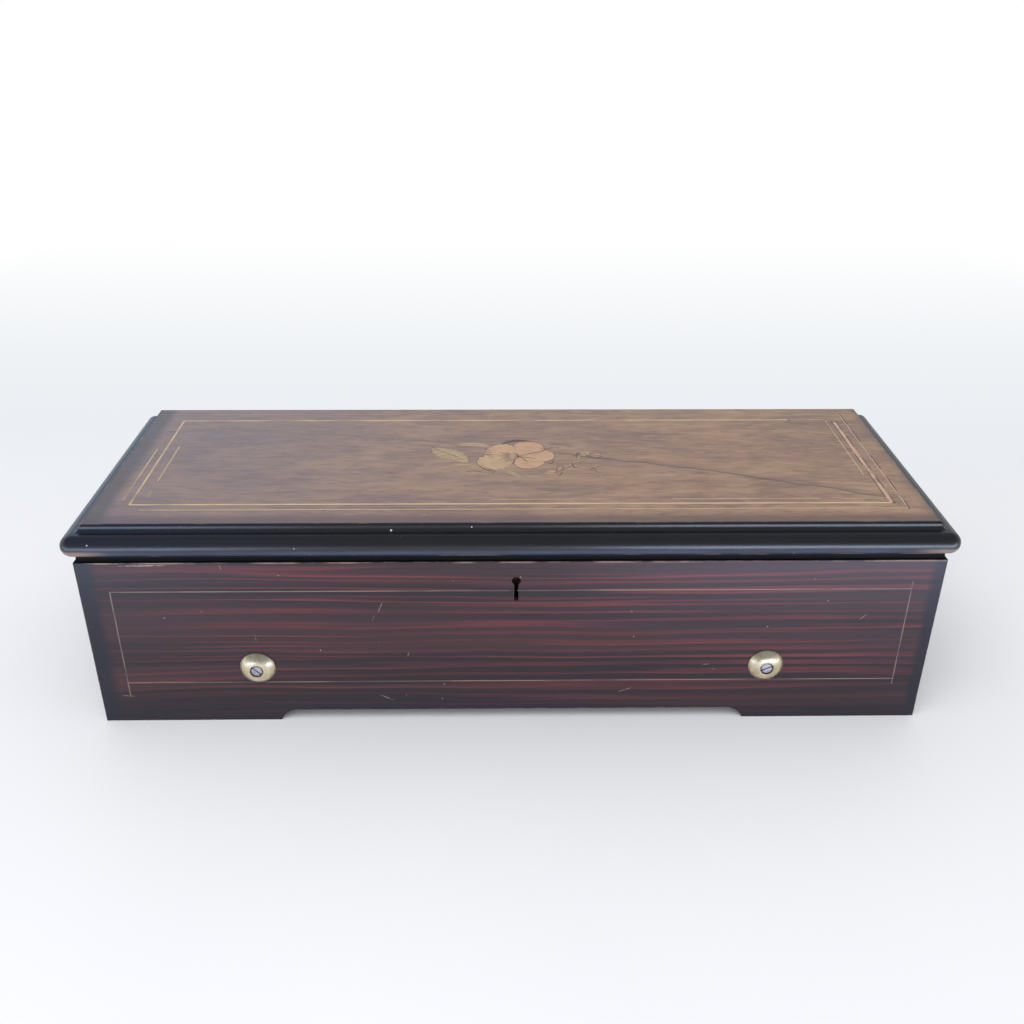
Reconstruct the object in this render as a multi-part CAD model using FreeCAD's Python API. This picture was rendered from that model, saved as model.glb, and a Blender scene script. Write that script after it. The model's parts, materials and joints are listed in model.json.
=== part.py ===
import FreeCAD, Part
import math
import os

# Cylinder music box: a veneered case with a moulded lid and a lock,
# an inner glass lid and a lever-wound movement.
# All sizes are in millimetres. X runs to the right along the front, Y to the back and Z up.
# The origin is the bottom centre of the closed box.

V = FreeCAD.Vector
X_WAY = V(1, 0, 0)
Z_WAY = V(0, 0, 1)

# Case boards and feet
case_length = 480.0
case_depth = 166.0
case_height = 110.0
quirk_height = 1.7
quirk_depth = 1.6
board = 12.0
floor_board = 9.0
floor_lift = 8.0
foot_height = 7.1
front_foot = 103.0
end_foot = 30.0
foot_shoulder = 10.0

# Compartments and their partitions
lever_room = 44.0
control_room = 38.0
partition = 6.0
partition_drop = 12.0

# Lid panel and its moulding
lid_gap = 0.2
lid_height = 19.2
panel_thickness = 8.0
panel_inset = 6.3
moulding_inset = 14.0
bead_radius = 1.6
bead_wall = 0.1
nose_radius = 6.3
nose_reach = 5.0
fillet_inset = 1.6
fillet_height = 2.4
card_length = 190.0
card_width = 96.0
card_thickness = 0.4

# Lid hinges
hinge_spread = 150.0
hinge_width = 50.0
hinge_middle = 20.0
hinge_leaf = 1.3
hinge_leaf_reach = 10.0
knuckle_radius = 2.3
knuckle_clear = 0.4
knuckle_gap = 0.2
hinge_pin_radius = 1.2
pin_fit = 0.04

# Lock and keyhole
lock_offset = 1.8
lock_width = 50.0
lock_height = 35.0
lock_depth = 8.0
lock_wall = 1.2
key_drop = 14.4
key_radius = 2.55
key_slot_width = 2.3
key_slot_length = 12.6
bolt_drop = 8.0
bolt_length = 15.0
bolt_height = 5.0
bolt_thickness = 4.4
bolt_nose = 6.0
bolt_nose_height = 2.6
bolt_nose_thickness = 1.8
bolt_fit = 0.3
staple_gap = 1.0
staple_thickness = 2.0
staple_margin = 0.9
link_plate_length = 40.0
link_plate_width = 9.0
link_plate_thickness = 1.4

# Inner glass lid
glass_gap = 0.5
glass_frame_thickness = 7.0
glass_rail = 16.0
glass_front_gap = 1.0
glass_batten = 6.0
glass_batten_gap = 0.5
pane_ledge = 2.5
pane_thickness = 2.0
pane_lap = 4.0
pane_fit = 0.3
glass_hinge_spread = 120.0
glass_hinge_width = 30.0
glass_hinge_middle = 12.0
glass_leaf = 0.8
glass_leaf_reach = 7.0
glass_knuckle_radius = 1.5
glass_knuckle_lift = 0.15
glass_pin_radius = 0.7
glass_knob_radius = 4.0
glass_knob_height = 6.0

# Bedplate and its fixings to the case
bed_thickness = 8.0
bed_end_gap = 4.0
bed_side_gap = 3.0
bed_lug_width = 24.0
bed_clear = 4.5
bed_screw_margin = 93.0
bearer_width = 20.0
washer_radius = 10.25
washer_height = 4.2
washer_seat = 1.7
washer_rim = 0.5
washer_bulge = 0.9
washer_head_gap = 0.4
case_screw_head_radius = 3.5
case_screw_head_height = 2.0
case_screw_radius = 2.0
case_screw_bite = 11.0
screw_fit = 0.15
slot_width = 0.9
slot_depth = 0.9
left_slot_turn = 135.0
right_slot_turn = 24.0

# Screws that hold the frames to the bedplate
foot_thickness = 4.0
foot_screw_radius = 1.6
foot_screw_head = 3.0
foot_screw_head_height = 1.8
foot_screw_bite = 5.0
foot_slot_step = 37.0

# Cylinder, arbor and bearings
cylinder_radius = 25.0
cylinder_wall = 1.5
cylinder_cap = 3.0
pin_height = 0.8
pane_clear = 2.2
cylinder_set_back = 22.0
cylinder_travel = 2.4
cylinder_end_gap = 0.6
cylinder_bracket_gap = 3.0
arbor_radius = 4.0
journal_radius = 3.0
shaft_fit = 0.05
bearing_thickness = 6.0
bearing_half_width = 6.0
bearing_foot_length = 22.0
bearing_foot_side = 3.0
arbor_overhang = 2.0
arbor_end_play = 0.2

# Comb
comb_margin = 9.0
comb_heel = 24.0
comb_heel_thickness = 3.0
comb_tip_gap = 0.3
comb_end_gap = 2.0
tooth_pitch = 2.7
tooth_slot = 0.4
tooth_thickness = 1.2
tooth_root = 2.0
comb_screw_pitch = 26.0
comb_screw_inset = 8.0
comb_screw_radius = 1.8
comb_screw_head = 3.2
comb_screw_head_height = 2.0
comb_screw_bite = 12.0
comb_slot_step = 53.0
weight_share = 0.36
weight_setback = 6.0
weight_length = 7.0
weight_tallest = 7.0
weight_shortest = 2.0

# Gear teeth
pressure_angle = math.radians(20.0)
addendum = 0.7
dedendum = 0.95
backlash = 0.08

# Spring barrel, its gear and its arbor
drive_module = 0.75
drive_pinion_teeth = 16
barrel_teeth = 64
barrel_drop = 2.0
barrel_length = 39.0
barrel_radius = 22.5
barrel_wall = 1.6
barrel_end = 2.0
barrel_gear_thickness = 6.0
pinion_overlap = 1.0
barrel_arbor_radius = 5.0
barrel_core_radius = 6.5
barrel_journal_radius = 4.0
spring_thickness = 0.7
spring_pitch = 1.9
spring_turns = 7
spring_gap = 0.2
spring_end_gap = 0.4
bracket_thickness = 5.0
bracket_half_width = 20.0
bracket_chamfer = 6.0
bracket_top = 20.0
bracket_gap = 3.0
bracket_foot = 9.0
bracket_foot_inset = 6.0

# Ratchet and click
ratchet_gap = 10.0
ratchet_teeth = 24
ratchet_radius = 13.0
ratchet_depth = 2.5
ratchet_thickness = 4.0
ratchet_bracket_gap = 6.0
click_aim = math.radians(130.0)
click_span = math.radians(70.0)
click_pivot_reach = 18.5
click_boss_radius = 3.5
click_pin_radius = 2.0
click_fit = 0.3
click_rise = 2.5
click_spring_thickness = 0.6
click_spring_span = math.radians(40.0)
click_spring_post = 1.5
click_spring_reach = 17.5
click_spring_lift = 0.5
click_spring_tip = math.radians(4.0)
click_arm = 2.2

# Winding lever
lever_gap = 10.0
lever_thickness = 7.0
lever_hub_radius = 11.0
lever_arm_width = 9.0
lever_arm_length = 30.0
lever_drop = math.radians(20.0)
grip_length = 20.0
grip_radius = 6.0
grip_neck = 3.6
grip_tip = 2.0
grip_shoulder = 12.0
grip_crown = 2.4
grip_crown_radius = 5.0
grip_tang = 13.8
grip_bore_radius = 2.4
lever_end_cap = 2.2
lever_end_cap_radius = 7.0
lever_end_play = 0.3
lever_cheek = 1.0
arbor_hole_gap = 1.5
lever_stop_radius = 2.0
lever_stop_reach = 24.0
lever_stop_gap = 0.2

# Governor train
governor_space = 45.0
governor_plate = 3.0
governor_inside = 22.0
governor_front = 8.5
governor_back = 7.5
governor_top = 7.0
great_module = 0.6
great_teeth = 80
great_thickness = 3.0
great_gap = 2.0
great_hole_radius = 5.0
great_hole_reach = 14.0
great_holes = 5
first_pinion_teeth = 12
first_aim = math.radians(196.2)
first_arbor_radius = 2.0
first_pivot_radius = 1.2
first_wheel_gap = 4.0
fine_module = 0.5
first_wheel_teeth = 60
wheel_thickness = 2.0
second_pinion_teeth = 12
second_aim = math.radians(199.1)
second_arbor_radius = 1.5
second_pivot_radius = 0.9
pinion_side = 0.5
worm_wheel_teeth = 30
worm_pitch_radius = 2.5
worm_core_radius = 1.9
worm_crest = 0.35
worm_turns = 6.5
worm_thread = 0.5
worm_tooth_thinning = 0.3
worm_wheel_gap = 6.5
spindle_radius = 1.5
spindle_pivot = 0.8
spindle_end_play = 0.3
spindle_top_bite = 2.0
fan_lift = 14.6
fan_height = 12.0
fan_radius = 12.0
fan_blade = 0.6
fan_hub_radius = 2.6
fan_headroom = 1.2
cock_thickness = 3.0
cock_side = 4.0
cock_post = 8.0
cock_post_thickness = 6.0
cock_post_gap = 3.5

# Start and change levers
control_bracket_wall = 4.0
control_shelf = 3.0
control_shelf_half = 7.0
control_lift = 41.0
control_setback = 12.0
start_pivot_y = -30.0
change_pivot_y = 25.0
control_end_margin = 8.0
control_stud_radius = 2.5
control_lever_width = 7.0
control_lever_thickness = 3.0
control_lever_gap = 0.2
control_finger = 26.0
control_reach = 42.0
control_swing = math.radians(12.0)
control_knob_radius = 4.5
control_knob_height = 10.0
control_slot_gap = 0.8
control_foot = 14.0
control_stud_proud = 1.5
control_foot_inset = 10.0

# Faces of the case
half_length = case_length / 2
half_depth = case_depth / 2
inside_x = half_length - board
inside_y = half_depth - board
bed_screw_spread = half_length - bed_screw_margin
floor_top = floor_lift + floor_board
front_face = -half_depth
left_wall = -inside_x + lever_room
left_bay = left_wall + partition
right_wall = inside_x - control_room
right_bay = right_wall - partition
partition_top = case_height - partition_drop

# Lid levels and the lid hinge line
lid_bottom = case_height + lid_gap
lid_top = lid_bottom + lid_height
panel_bottom = lid_top - panel_thickness
hinge_y = half_depth + knuckle_clear + knuckle_radius
hinge_z = case_height + lid_gap / 2
hinge_back = knuckle_clear + 2 * knuckle_radius
shift_y = (nose_reach - hinge_back) / 2

# Inner glass lid levels and hinge line
glass_bottom = partition_top + glass_gap
glass_top = glass_bottom + glass_frame_thickness
pane_bottom = glass_bottom + pane_ledge
glass_back = inside_y - glass_batten - glass_batten_gap
glass_front = -inside_y + glass_front_gap
glass_hinge_y = inside_y - glass_batten - glass_batten_gap / 2
glass_hinge_z = glass_top + glass_knuckle_radius + glass_knuckle_lift

# Axes of the movement, as (y, z)
arbor_at = (cylinder_set_back, pane_bottom - pane_clear - cylinder_radius - pin_height)
drive_distance = drive_module * (drive_pinion_teeth + barrel_teeth) / 2
barrel_at = (
    arbor_at[0] - math.sqrt(drive_distance**2 - barrel_drop**2),
    arbor_at[1] - barrel_drop,
)
first_distance = great_module * (great_teeth + first_pinion_teeth) / 2
first_at = (
    arbor_at[0] + first_distance * math.cos(first_aim),
    arbor_at[1] + first_distance * math.sin(first_aim),
)
second_distance = fine_module * (first_wheel_teeth + second_pinion_teeth) / 2
second_at = (
    first_at[0] + second_distance * math.cos(second_aim),
    first_at[1] + second_distance * math.sin(second_aim),
)
worm_wheel_radius = fine_module * worm_wheel_teeth / 2
worm_y = second_at[0] - worm_wheel_radius - worm_pitch_radius
barrel_gear_tip = drive_module * (barrel_teeth / 2 + addendum)
bed_top = barrel_at[1] - barrel_gear_tip - bed_clear
bed_bottom = bed_top - bed_thickness
bed_middle = bed_top - bed_thickness / 2
foot_top = bed_top + foot_thickness

# Stations along X, from the left bay to the right bay
bed_left = left_bay + bed_end_gap
bed_right = right_bay - bed_end_gap
ratchet_left = left_bay + ratchet_gap
ratchet_right = ratchet_left + ratchet_thickness
left_bracket = ratchet_right + ratchet_bracket_gap
barrel_left = left_bracket + bracket_thickness + bracket_gap
barrel_gear_left = barrel_left + barrel_length
barrel_gear_right = barrel_gear_left + barrel_gear_thickness
right_bracket = barrel_gear_right + bracket_gap
cylinder_left = right_bracket + bracket_thickness + cylinder_bracket_gap
pinion_left = barrel_gear_left - pinion_overlap
pinion_right = barrel_gear_right + pinion_overlap
left_bearing = pinion_left - arbor_overhang - bearing_thickness
governor_right = bed_right - governor_space
governor_left = governor_right - governor_inside - 2 * governor_plate
great_left = governor_left + governor_plate + great_gap
great_right = great_left + great_thickness
right_bearing = great_right + bearing_foot_side + pinion_side
cylinder_right = governor_left - cylinder_end_gap - cylinder_travel
first_wheel_left = great_right + first_wheel_gap
worm_x = first_wheel_left + wheel_thickness + worm_wheel_gap
lever_right = left_wall - lever_gap
lever_left = lever_right - lever_thickness
control_x = bed_right - control_setback + control_bracket_wall
control_z = bed_top + control_lift

# Comb outline
comb_front = -inside_y + comb_margin
comb_back = comb_front + comb_heel
comb_left = cylinder_left + comb_end_gap
comb_teeth = int((cylinder_right - comb_left) / tooth_pitch)
comb_right = comb_left + comb_teeth * tooth_pitch - tooth_slot
comb_tip = arbor_at[0] - cylinder_radius - pin_height - comb_tip_gap
comb_base_top = arbor_at[1] - comb_heel_thickness


# Basic solids


def box(x0, x1, y0, y1, z0, z1):
    return Part.makeBox(x1 - x0, y1 - y0, z1 - z0, V(x0, y0, z0))


def rod_x(radius, x0, x1, centre):
    return Part.makeCylinder(radius, x1 - x0, V(x0, centre[0], centre[1]), X_WAY)


def rod_z(radius, z0, z1, x, y):
    return Part.makeCylinder(radius, z1 - z0, V(x, y, z0), Z_WAY)


def outline(start, *steps):
    """Closed wire from a start point; a step is a point, or a (middle, end) pair for an arc."""
    edges = []
    here = start
    for step in steps:
        if isinstance(step, tuple):
            edges.append(Part.Arc(here, step[0], step[1]).toShape())
            here = step[1]
        else:
            edges.append(Part.makeLine(here, step))
            here = step
    if not here.isEqual(start, 1e-7):
        edges.append(Part.makeLine(here, start))
    return Part.Wire(edges)


def prism(wire, way):
    return Part.Face(wire).extrude(way)


def turned(*profile):
    """Solid of revolution about Z from an outline of (radius, height) steps."""
    points = [
        tuple(V(r, 0, z) for r, z in step) if isinstance(step[0], tuple) else V(step[0], 0, step[1])
        for step in profile
    ]
    return Part.Face(outline(*points)).revolve(V(0, 0, 0), Z_WAY, 360)


def stood(shape, point, way):
    """Move a shape built along Z so that its Z axis points along way from point."""
    shape.Placement = FreeCAD.Placement(point, FreeCAD.Rotation(Z_WAY, way)).multiply(shape.Placement)
    return shape


def polar(centre, radius, angle):
    return (centre[0] + radius * math.cos(angle), centre[1] + radius * math.sin(angle))


def at(x, point):
    return V(x, point[0], point[1])


def slotted_screw(head_radius, head_height, shank_radius, shank_length, turn):
    """Screw along Z with its head standing on z = 0 and its slot turned by an angle in degrees."""
    head = Part.makeCylinder(head_radius, head_height, V(0, 0, 0), Z_WAY)
    shank = rod_z(shank_radius, -shank_length, 0, 0, 0)
    slot = box(
        -head_radius, head_radius, -slot_width / 2, slot_width / 2, head_height - slot_depth, head_height
    )
    slot.rotate(V(0, 0, 0), Z_WAY, turn)
    return head.fuse(shank).cut(slot).removeSplitter()


def knob(radius, height, foot):
    """Turned knob with a rounded rim, on a neck half as wide."""
    neck = radius / 2
    neck_top = height / 3
    rim = (radius, (neck_top + height) / 2)
    solid = turned((0, 0), (neck, 0), (neck, neck_top), (rim, (neck, height)), (0, height))
    return stood(solid, foot, Z_WAY)


def save(name, *solids):
    """Write one node, set over the middle of the closed box's depth."""
    shape = solids[0] if len(solids) == 1 else Part.makeCompound(list(solids))
    shape.translate(V(0, shift_y, 0))
    shape.exportStep("parts/" + name + ".step")


# Toothed wheels


def involute(angle):
    return math.tan(angle) - angle


def gear(x0, x1, centre, teeth, module, aim, gap_at_aim, bore, thinning=backlash):
    """Spur gear about X with a tooth, or a gap, pointing along the aim angle."""
    pitch_r = teeth * module / 2
    base_r = pitch_r * math.cos(pressure_angle)
    tip_r = pitch_r + addendum * module
    root_r = pitch_r - dedendum * module
    low_r = max(root_r, base_r)
    middle_r = (low_r + tip_r) / 2

    def half_width(radius):
        lean = math.acos(min(1.0, base_r / radius))
        pitch_half = math.pi / (2 * teeth) - thinning / (2 * pitch_r)
        return pitch_half + involute(pressure_angle) - involute(lean)

    points = []
    for tooth in range(teeth):
        middle = aim + (tooth + (0.5 if gap_at_aim else 0.0)) * 2 * math.pi / teeth

        def on(radius, side):
            return at(x0, polar(centre, radius, middle + side * half_width(radius)))

        def root(side):
            return at(x0, polar(centre, root_r, middle + side * half_width(low_r)))

        if root_r < base_r:
            points.append(root(-1))
        points.append(on(low_r, -1))
        points.append((on(middle_r, -1), on(tip_r, -1)))
        points.append(on(tip_r, 1))
        points.append((on(middle_r, 1), on(low_r, 1)))
        if root_r < base_r:
            points.append(root(1))
    solid = prism(outline(*points), V(x1 - x0, 0, 0))
    return solid.cut(rod_x(bore, x0, x1, centre))


def ratchet_wheel():
    """Saw-toothed wheel whose steep faces stop it from turning back under the spring."""
    points = []
    for tooth in range(ratchet_teeth):
        angle = click_aim - tooth * 2 * math.pi / ratchet_teeth
        points.append(at(ratchet_left, polar(barrel_at, ratchet_radius, angle)))
        points.append(at(ratchet_left, polar(barrel_at, ratchet_radius - ratchet_depth, angle)))
    solid = prism(outline(*points), V(ratchet_thickness, 0, 0))
    return solid.cut(rod_x(barrel_journal_radius, ratchet_left, ratchet_right, barrel_at))


# Case


def foot_gap(inner_foot, y0, y1):
    """Gap between two feet of a board that runs along X, with a quarter-round shoulder at each foot."""
    arch = (foot_shoulder**2 + foot_height**2) / (2 * foot_height)
    top = inner_foot - foot_shoulder
    turn = math.atan2(arch - foot_height, foot_shoulder)
    bend = (turn + math.pi / 2) / 2
    knee_x = top + arch * math.cos(bend)
    knee_z = foot_height - arch + arch * math.sin(bend)
    wire = outline(
        V(-inner_foot, y0, 0),
        (V(-knee_x, y0, knee_z), V(-top, y0, foot_height)),
        V(top, y0, foot_height),
        (V(knee_x, y0, knee_z), V(inner_foot, y0, 0)),
    )
    return prism(wire, V(0, y1 - y0, 0))


def long_board(y0, y1):
    solid = box(-half_length, half_length, y0, y1, 0, case_height)
    solid = solid.cut(foot_gap(half_length - front_foot, y0, y1))
    for side in (-1, 1):
        hole = Part.makeCylinder(
            case_screw_radius + screw_fit, board, V(side * bed_screw_spread, y0, bed_middle), V(0, 1, 0)
        )
        solid = solid.cut(hole)
    return solid


def case_front():
    solid = long_board(front_face, -inside_y)
    solid = solid.cut(lock_body())
    key_z = case_height - key_drop
    skin = board - lock_depth
    hole = Part.makeCylinder(key_radius, skin, V(lock_offset, front_face, key_z), V(0, 1, 0))
    slot = box(
        lock_offset - key_slot_width / 2,
        lock_offset + key_slot_width / 2,
        front_face,
        front_face + skin,
        key_z - key_slot_length,
        key_z,
    )
    return solid.cut(hole.fuse(slot)).cut(case_quirk())


def case_back():
    solid = long_board(inside_y, half_depth)
    for centre in (-hinge_spread, hinge_spread):
        solid = solid.cut(hinge_recess(centre, case_height - hinge_leaf, case_height))
    return solid.cut(case_quirk())


def case_end(x0):
    solid = box(x0, x0 + board, -inside_y, inside_y, 0, case_height)
    gap = foot_gap(half_depth - end_foot, -x0 - board, -x0)
    gap.rotate(V(0, 0, 0), Z_WAY, 90)
    return solid.cut(gap).cut(case_quirk())


def case_quirk():
    """Small step cut in the case's top edge on its front and ends, which sets the lid off by a dark line."""
    low = case_height - quirk_height
    end = half_length - quirk_depth
    whole = box(-half_length, half_length, front_face, half_depth, low, case_height)
    return whole.cut(box(-end, end, front_face + quirk_depth, half_depth, low, case_height))


def lock_body():
    """Space that the lock takes in the inner face of the front board."""
    return box(
        lock_offset - lock_width / 2,
        lock_offset + lock_width / 2,
        -inside_y - lock_depth,
        -inside_y,
        case_height - lock_height,
        case_height,
    )


def hinge_recess(centre, z0, z1):
    return box(
        centre - hinge_width / 2,
        centre + hinge_width / 2,
        half_depth - hinge_leaf_reach,
        half_depth,
        z0,
        z1,
    )


def partition_boards():
    boards = []
    for x0 in (left_wall, right_bay):
        boards.append(box(x0, x0 + partition, -inside_y, inside_y, floor_top, partition_top))
    hole = rod_x(barrel_journal_radius + arbor_hole_gap, left_wall, left_bay, barrel_at)
    boards[0] = boards[0].cut(hole)
    drift = (right_wall - control_x) * math.sin(control_swing)
    for pivot in (start_pivot_y, change_pivot_y):
        slot = box(
            right_bay,
            right_wall,
            pivot - control_lever_width / 2 - control_slot_gap,
            pivot + drift + control_lever_width / 2 + control_slot_gap,
            control_z + control_lever_gap - control_slot_gap,
            control_z + control_lever_gap + control_lever_thickness + control_slot_gap,
        )
        boards[1] = boards[1].cut(slot)
    return boards


def bed_bearers():
    return [
        box(
            x - bearer_width / 2, x + bearer_width / 2, -inside_y, inside_y, floor_top, bed_bottom
        )
        for x in (-bed_screw_spread, bed_screw_spread)
    ]


# Lid


nose_out = nose_reach - nose_radius
nose_z = lid_bottom + fillet_height + nose_radius


def moulding_outline(place):
    """Section of the lid moulding; place turns (outward from the case face, height) into a point."""
    bead_out = bead_radius - panel_inset
    bead_z = lid_top - bead_radius
    bend = bead_radius * math.sin(math.pi / 4)
    # The cove starts upright under the bead and runs smoothly into the round nose.
    cove_z = bead_z - bead_wall
    run = bead_out - nose_out
    rise = cove_z - nose_z
    cove_radius = (run**2 + rise**2 - nose_radius**2) / (2 * (nose_radius - run))
    cove_out = bead_out + cove_radius
    meet_angle = math.atan2(nose_z - cove_z, nose_out - cove_out)
    middle_angle = (meet_angle - math.pi) / 2

    def on_cove(angle):
        return place(cove_out + cove_radius * math.cos(angle), cove_z + cove_radius * math.sin(angle))

    return outline(
        place(-moulding_inset, lid_bottom),
        place(-fillet_inset, lid_bottom),
        place(-fillet_inset, lid_bottom + fillet_height),
        place(nose_out, lid_bottom + fillet_height),
        (place(nose_reach, nose_z), on_cove(meet_angle)),
        (on_cove(middle_angle), place(bead_out, cove_z)),
        place(bead_out, bead_z),
        (place(bend - panel_inset, bead_z + bend), place(-panel_inset, lid_top)),
        place(-panel_inset, panel_bottom),
        place(-moulding_inset, panel_bottom),
    )


def plan_block(*corners):
    """Upright block over a plan outline, as tall as the lid."""
    wire = outline(*[V(x, y, lid_bottom) for x, y in corners])
    return prism(wire, V(0, 0, lid_height))


def corner_waste(side):
    """What rounding takes off one front corner of the lid, where the noses of two mouldings meet."""
    corner = V(side * (half_length + nose_out), front_face - nose_out, nose_z)
    clear = 2 * nose_radius
    x0, x1 = sorted((corner.x, corner.x + side * clear))
    block = box(x0, x1, corner.y - clear, corner.y, nose_z - nose_radius, lid_top)
    return block.cut(Part.makeSphere(nose_radius, corner))


def moulding_front():
    reach = 2 * nose_reach
    end = half_length + reach
    inner = half_length - moulding_inset
    length = prism(moulding_outline(lambda out, z: V(-end, front_face - out, z)), V(2 * end, 0, 0))
    mitre = plan_block(
        (-end, front_face - reach),
        (end, front_face - reach),
        (inner, front_face + moulding_inset),
        (-inner, front_face + moulding_inset),
    )
    solid = length.common(mitre).cut(link_plate_block())
    return solid.cut(corner_waste(-1)).cut(corner_waste(1))


def moulding_side(side):
    reach = 2 * nose_reach
    start = front_face - reach
    length = prism(
        moulding_outline(lambda out, z: V(side * (half_length + out), start, z)),
        V(0, half_depth - start, 0),
    )
    mitre = plan_block(
        (side * (half_length + reach), start),
        (side * (half_length + reach), half_depth),
        (side * (half_length - moulding_inset), half_depth),
        (side * (half_length - moulding_inset), front_face + moulding_inset),
    )
    return length.common(mitre).cut(corner_waste(side))


def lid_back_rail():
    inner = half_length - moulding_inset
    solid = box(-inner, inner, half_depth - moulding_inset, half_depth, lid_bottom, panel_bottom)
    for centre in (-hinge_spread, hinge_spread):
        solid = solid.cut(hinge_recess(centre, lid_bottom, lid_bottom + hinge_leaf))
    return solid


def lid_panel():
    edge = half_length - panel_inset
    return box(-edge, edge, front_face + panel_inset, half_depth, panel_bottom, lid_top)


def tune_card():
    return box(
        -card_length / 2,
        card_length / 2,
        -card_width / 2,
        card_width / 2,
        panel_bottom - card_thickness,
        panel_bottom,
    )


# Hinges


def hinge_spans(centre, width, middle, gap):
    """X spans of the two outer knuckles, and of the middle one."""
    outer = [
        (centre - width / 2, centre - middle / 2 - gap),
        (centre + middle / 2 + gap, centre + width / 2),
    ]
    return outer, [(centre - middle / 2, centre + middle / 2)]


def hinge_half(plate, spans, edge_y, leaf_z, leaf_thickness, axis, radius, bore):
    """Leaf plate carried on to its knuckles, with the pin's bore."""
    solid = plate
    y0 = min(edge_y, axis[0])
    y1 = max(edge_y, axis[0])
    for x0, x1 in spans:
        solid = solid.fuse(box(x0, x1, y0, y1, leaf_z, leaf_z + leaf_thickness))
        solid = solid.fuse(rod_x(radius, x0, x1, axis))
    solid = solid.removeSplitter()
    for x0, x1 in spans:
        solid = solid.cut(rod_x(bore, x0, x1, axis))
    return solid


def lid_hinge(centre):
    """Lower leaf, upper leaf and pin of one butt hinge."""
    axis = (hinge_y, hinge_z)
    outer, middle = hinge_spans(centre, hinge_width, hinge_middle, knuckle_gap)
    bore = hinge_pin_radius + pin_fit
    low_z = case_height - hinge_leaf
    lower = hinge_half(
        hinge_recess(centre, low_z, case_height),
        outer, half_depth, low_z, hinge_leaf, axis, knuckle_radius, bore,
    )
    upper = hinge_half(
        hinge_recess(centre, lid_bottom, lid_bottom + hinge_leaf),
        middle, half_depth, lid_bottom, hinge_leaf, axis, knuckle_radius, bore,
    )
    pin = rod_x(hinge_pin_radius, centre - hinge_width / 2, centre + hinge_width / 2, axis)
    return lower, upper, pin


def glass_hinge(centre):
    """Fixed leaf with its pin, and the moving leaf, of one hinge of the inner glass lid."""
    axis = (glass_hinge_y, glass_hinge_z)
    outer, middle = hinge_spans(centre, glass_hinge_width, glass_hinge_middle, knuckle_gap)
    room = glass_knuckle_radius + knuckle_clear
    x0 = centre - glass_hinge_width / 2
    x1 = centre + glass_hinge_width / 2
    back_plate = box(x0, x1, glass_hinge_y + room, inside_y, glass_top, glass_top + glass_leaf)
    front_edge = glass_hinge_y - room
    front_plate = box(
        x0, x1, front_edge - glass_leaf_reach, front_edge, glass_top, glass_top + glass_leaf
    )
    fixed = hinge_half(
        back_plate, outer, glass_hinge_y + room, glass_top, glass_leaf, axis, glass_knuckle_radius,
        glass_pin_radius,
    )
    fixed = fixed.fuse(rod_x(glass_pin_radius, x0, x1, axis))
    moving = hinge_half(
        front_plate, middle, front_edge, glass_top, glass_leaf, axis, glass_knuckle_radius,
        glass_pin_radius + pin_fit,
    )
    return fixed, moving


# Lock

bolt_middle_z = case_height - bolt_drop
bolt_back = -inside_y - lock_wall - bolt_fit
bolt_middle_y = bolt_back - bolt_thickness / 2
staple_left = lock_offset + staple_gap
eye_half_width = bolt_nose_thickness / 2 + bolt_fit
eye_half_height = bolt_nose_height / 2 + bolt_fit
staple_half_width = eye_half_width + staple_margin


def lock_case():
    """Tray whose back shows inside the case, open to the wood, with a slot for the staple."""
    solid = lock_body()
    hollow = box(
        lock_offset - lock_width / 2 + lock_wall,
        lock_offset + lock_width / 2 - lock_wall,
        -inside_y - lock_depth,
        -inside_y - lock_wall,
        case_height - lock_height + lock_wall,
        case_height - lock_wall,
    )
    slot = box(
        staple_left - bolt_fit,
        staple_left + staple_thickness + bolt_fit,
        -inside_y - lock_depth,
        bolt_middle_y + staple_half_width + bolt_fit,
        case_height - lock_wall,
        case_height,
    )
    return solid.cut(hollow).cut(slot)


def lock_bolt():
    nose_left = lock_offset - bolt_nose
    bar = box(
        nose_left - bolt_length,
        nose_left,
        bolt_back - bolt_thickness,
        bolt_back,
        bolt_middle_z - bolt_height / 2,
        bolt_middle_z + bolt_height / 2,
    )
    nose = box(
        nose_left,
        lock_offset,
        bolt_middle_y - bolt_nose_thickness / 2,
        bolt_middle_y + bolt_nose_thickness / 2,
        bolt_middle_z - bolt_nose_height / 2,
        bolt_middle_z + bolt_nose_height / 2,
    )
    return bar.fuse(nose)


def link_plate_block():
    return box(
        lock_offset - link_plate_length / 2,
        lock_offset + link_plate_length / 2,
        bolt_middle_y - link_plate_width / 2,
        bolt_middle_y + link_plate_width / 2,
        lid_bottom,
        lid_bottom + link_plate_thickness,
    )


def link_plate():
    """Plate let into the lid, with the staple that the bolt shoots through."""
    staple = box(
        staple_left,
        staple_left + staple_thickness,
        bolt_middle_y - staple_half_width,
        bolt_middle_y + staple_half_width,
        bolt_middle_z - eye_half_height - staple_margin,
        lid_bottom,
    )
    eye = box(
        staple_left,
        staple_left + staple_thickness,
        bolt_middle_y - eye_half_width,
        bolt_middle_y + eye_half_width,
        bolt_middle_z - eye_half_height,
        bolt_middle_z + eye_half_height,
    )
    return link_plate_block().fuse(staple.cut(eye))


# Inner glass lid


def glass_frame():
    solid = box(left_wall, right_wall, glass_front, glass_back, glass_bottom, glass_top)
    for lap, z0 in ((0.0, glass_bottom), (pane_lap, pane_bottom)):
        margin = glass_rail - lap
        solid = solid.cut(
            box(
                left_wall + margin,
                right_wall - margin,
                glass_front + margin,
                glass_back - margin,
                z0,
                glass_top,
            )
        )
    return solid


def glass_pane():
    margin = glass_rail - pane_lap + pane_fit
    return box(
        left_wall + margin,
        right_wall - margin,
        glass_front + margin,
        glass_back - margin,
        pane_bottom,
        pane_bottom + pane_thickness,
    )


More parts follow.
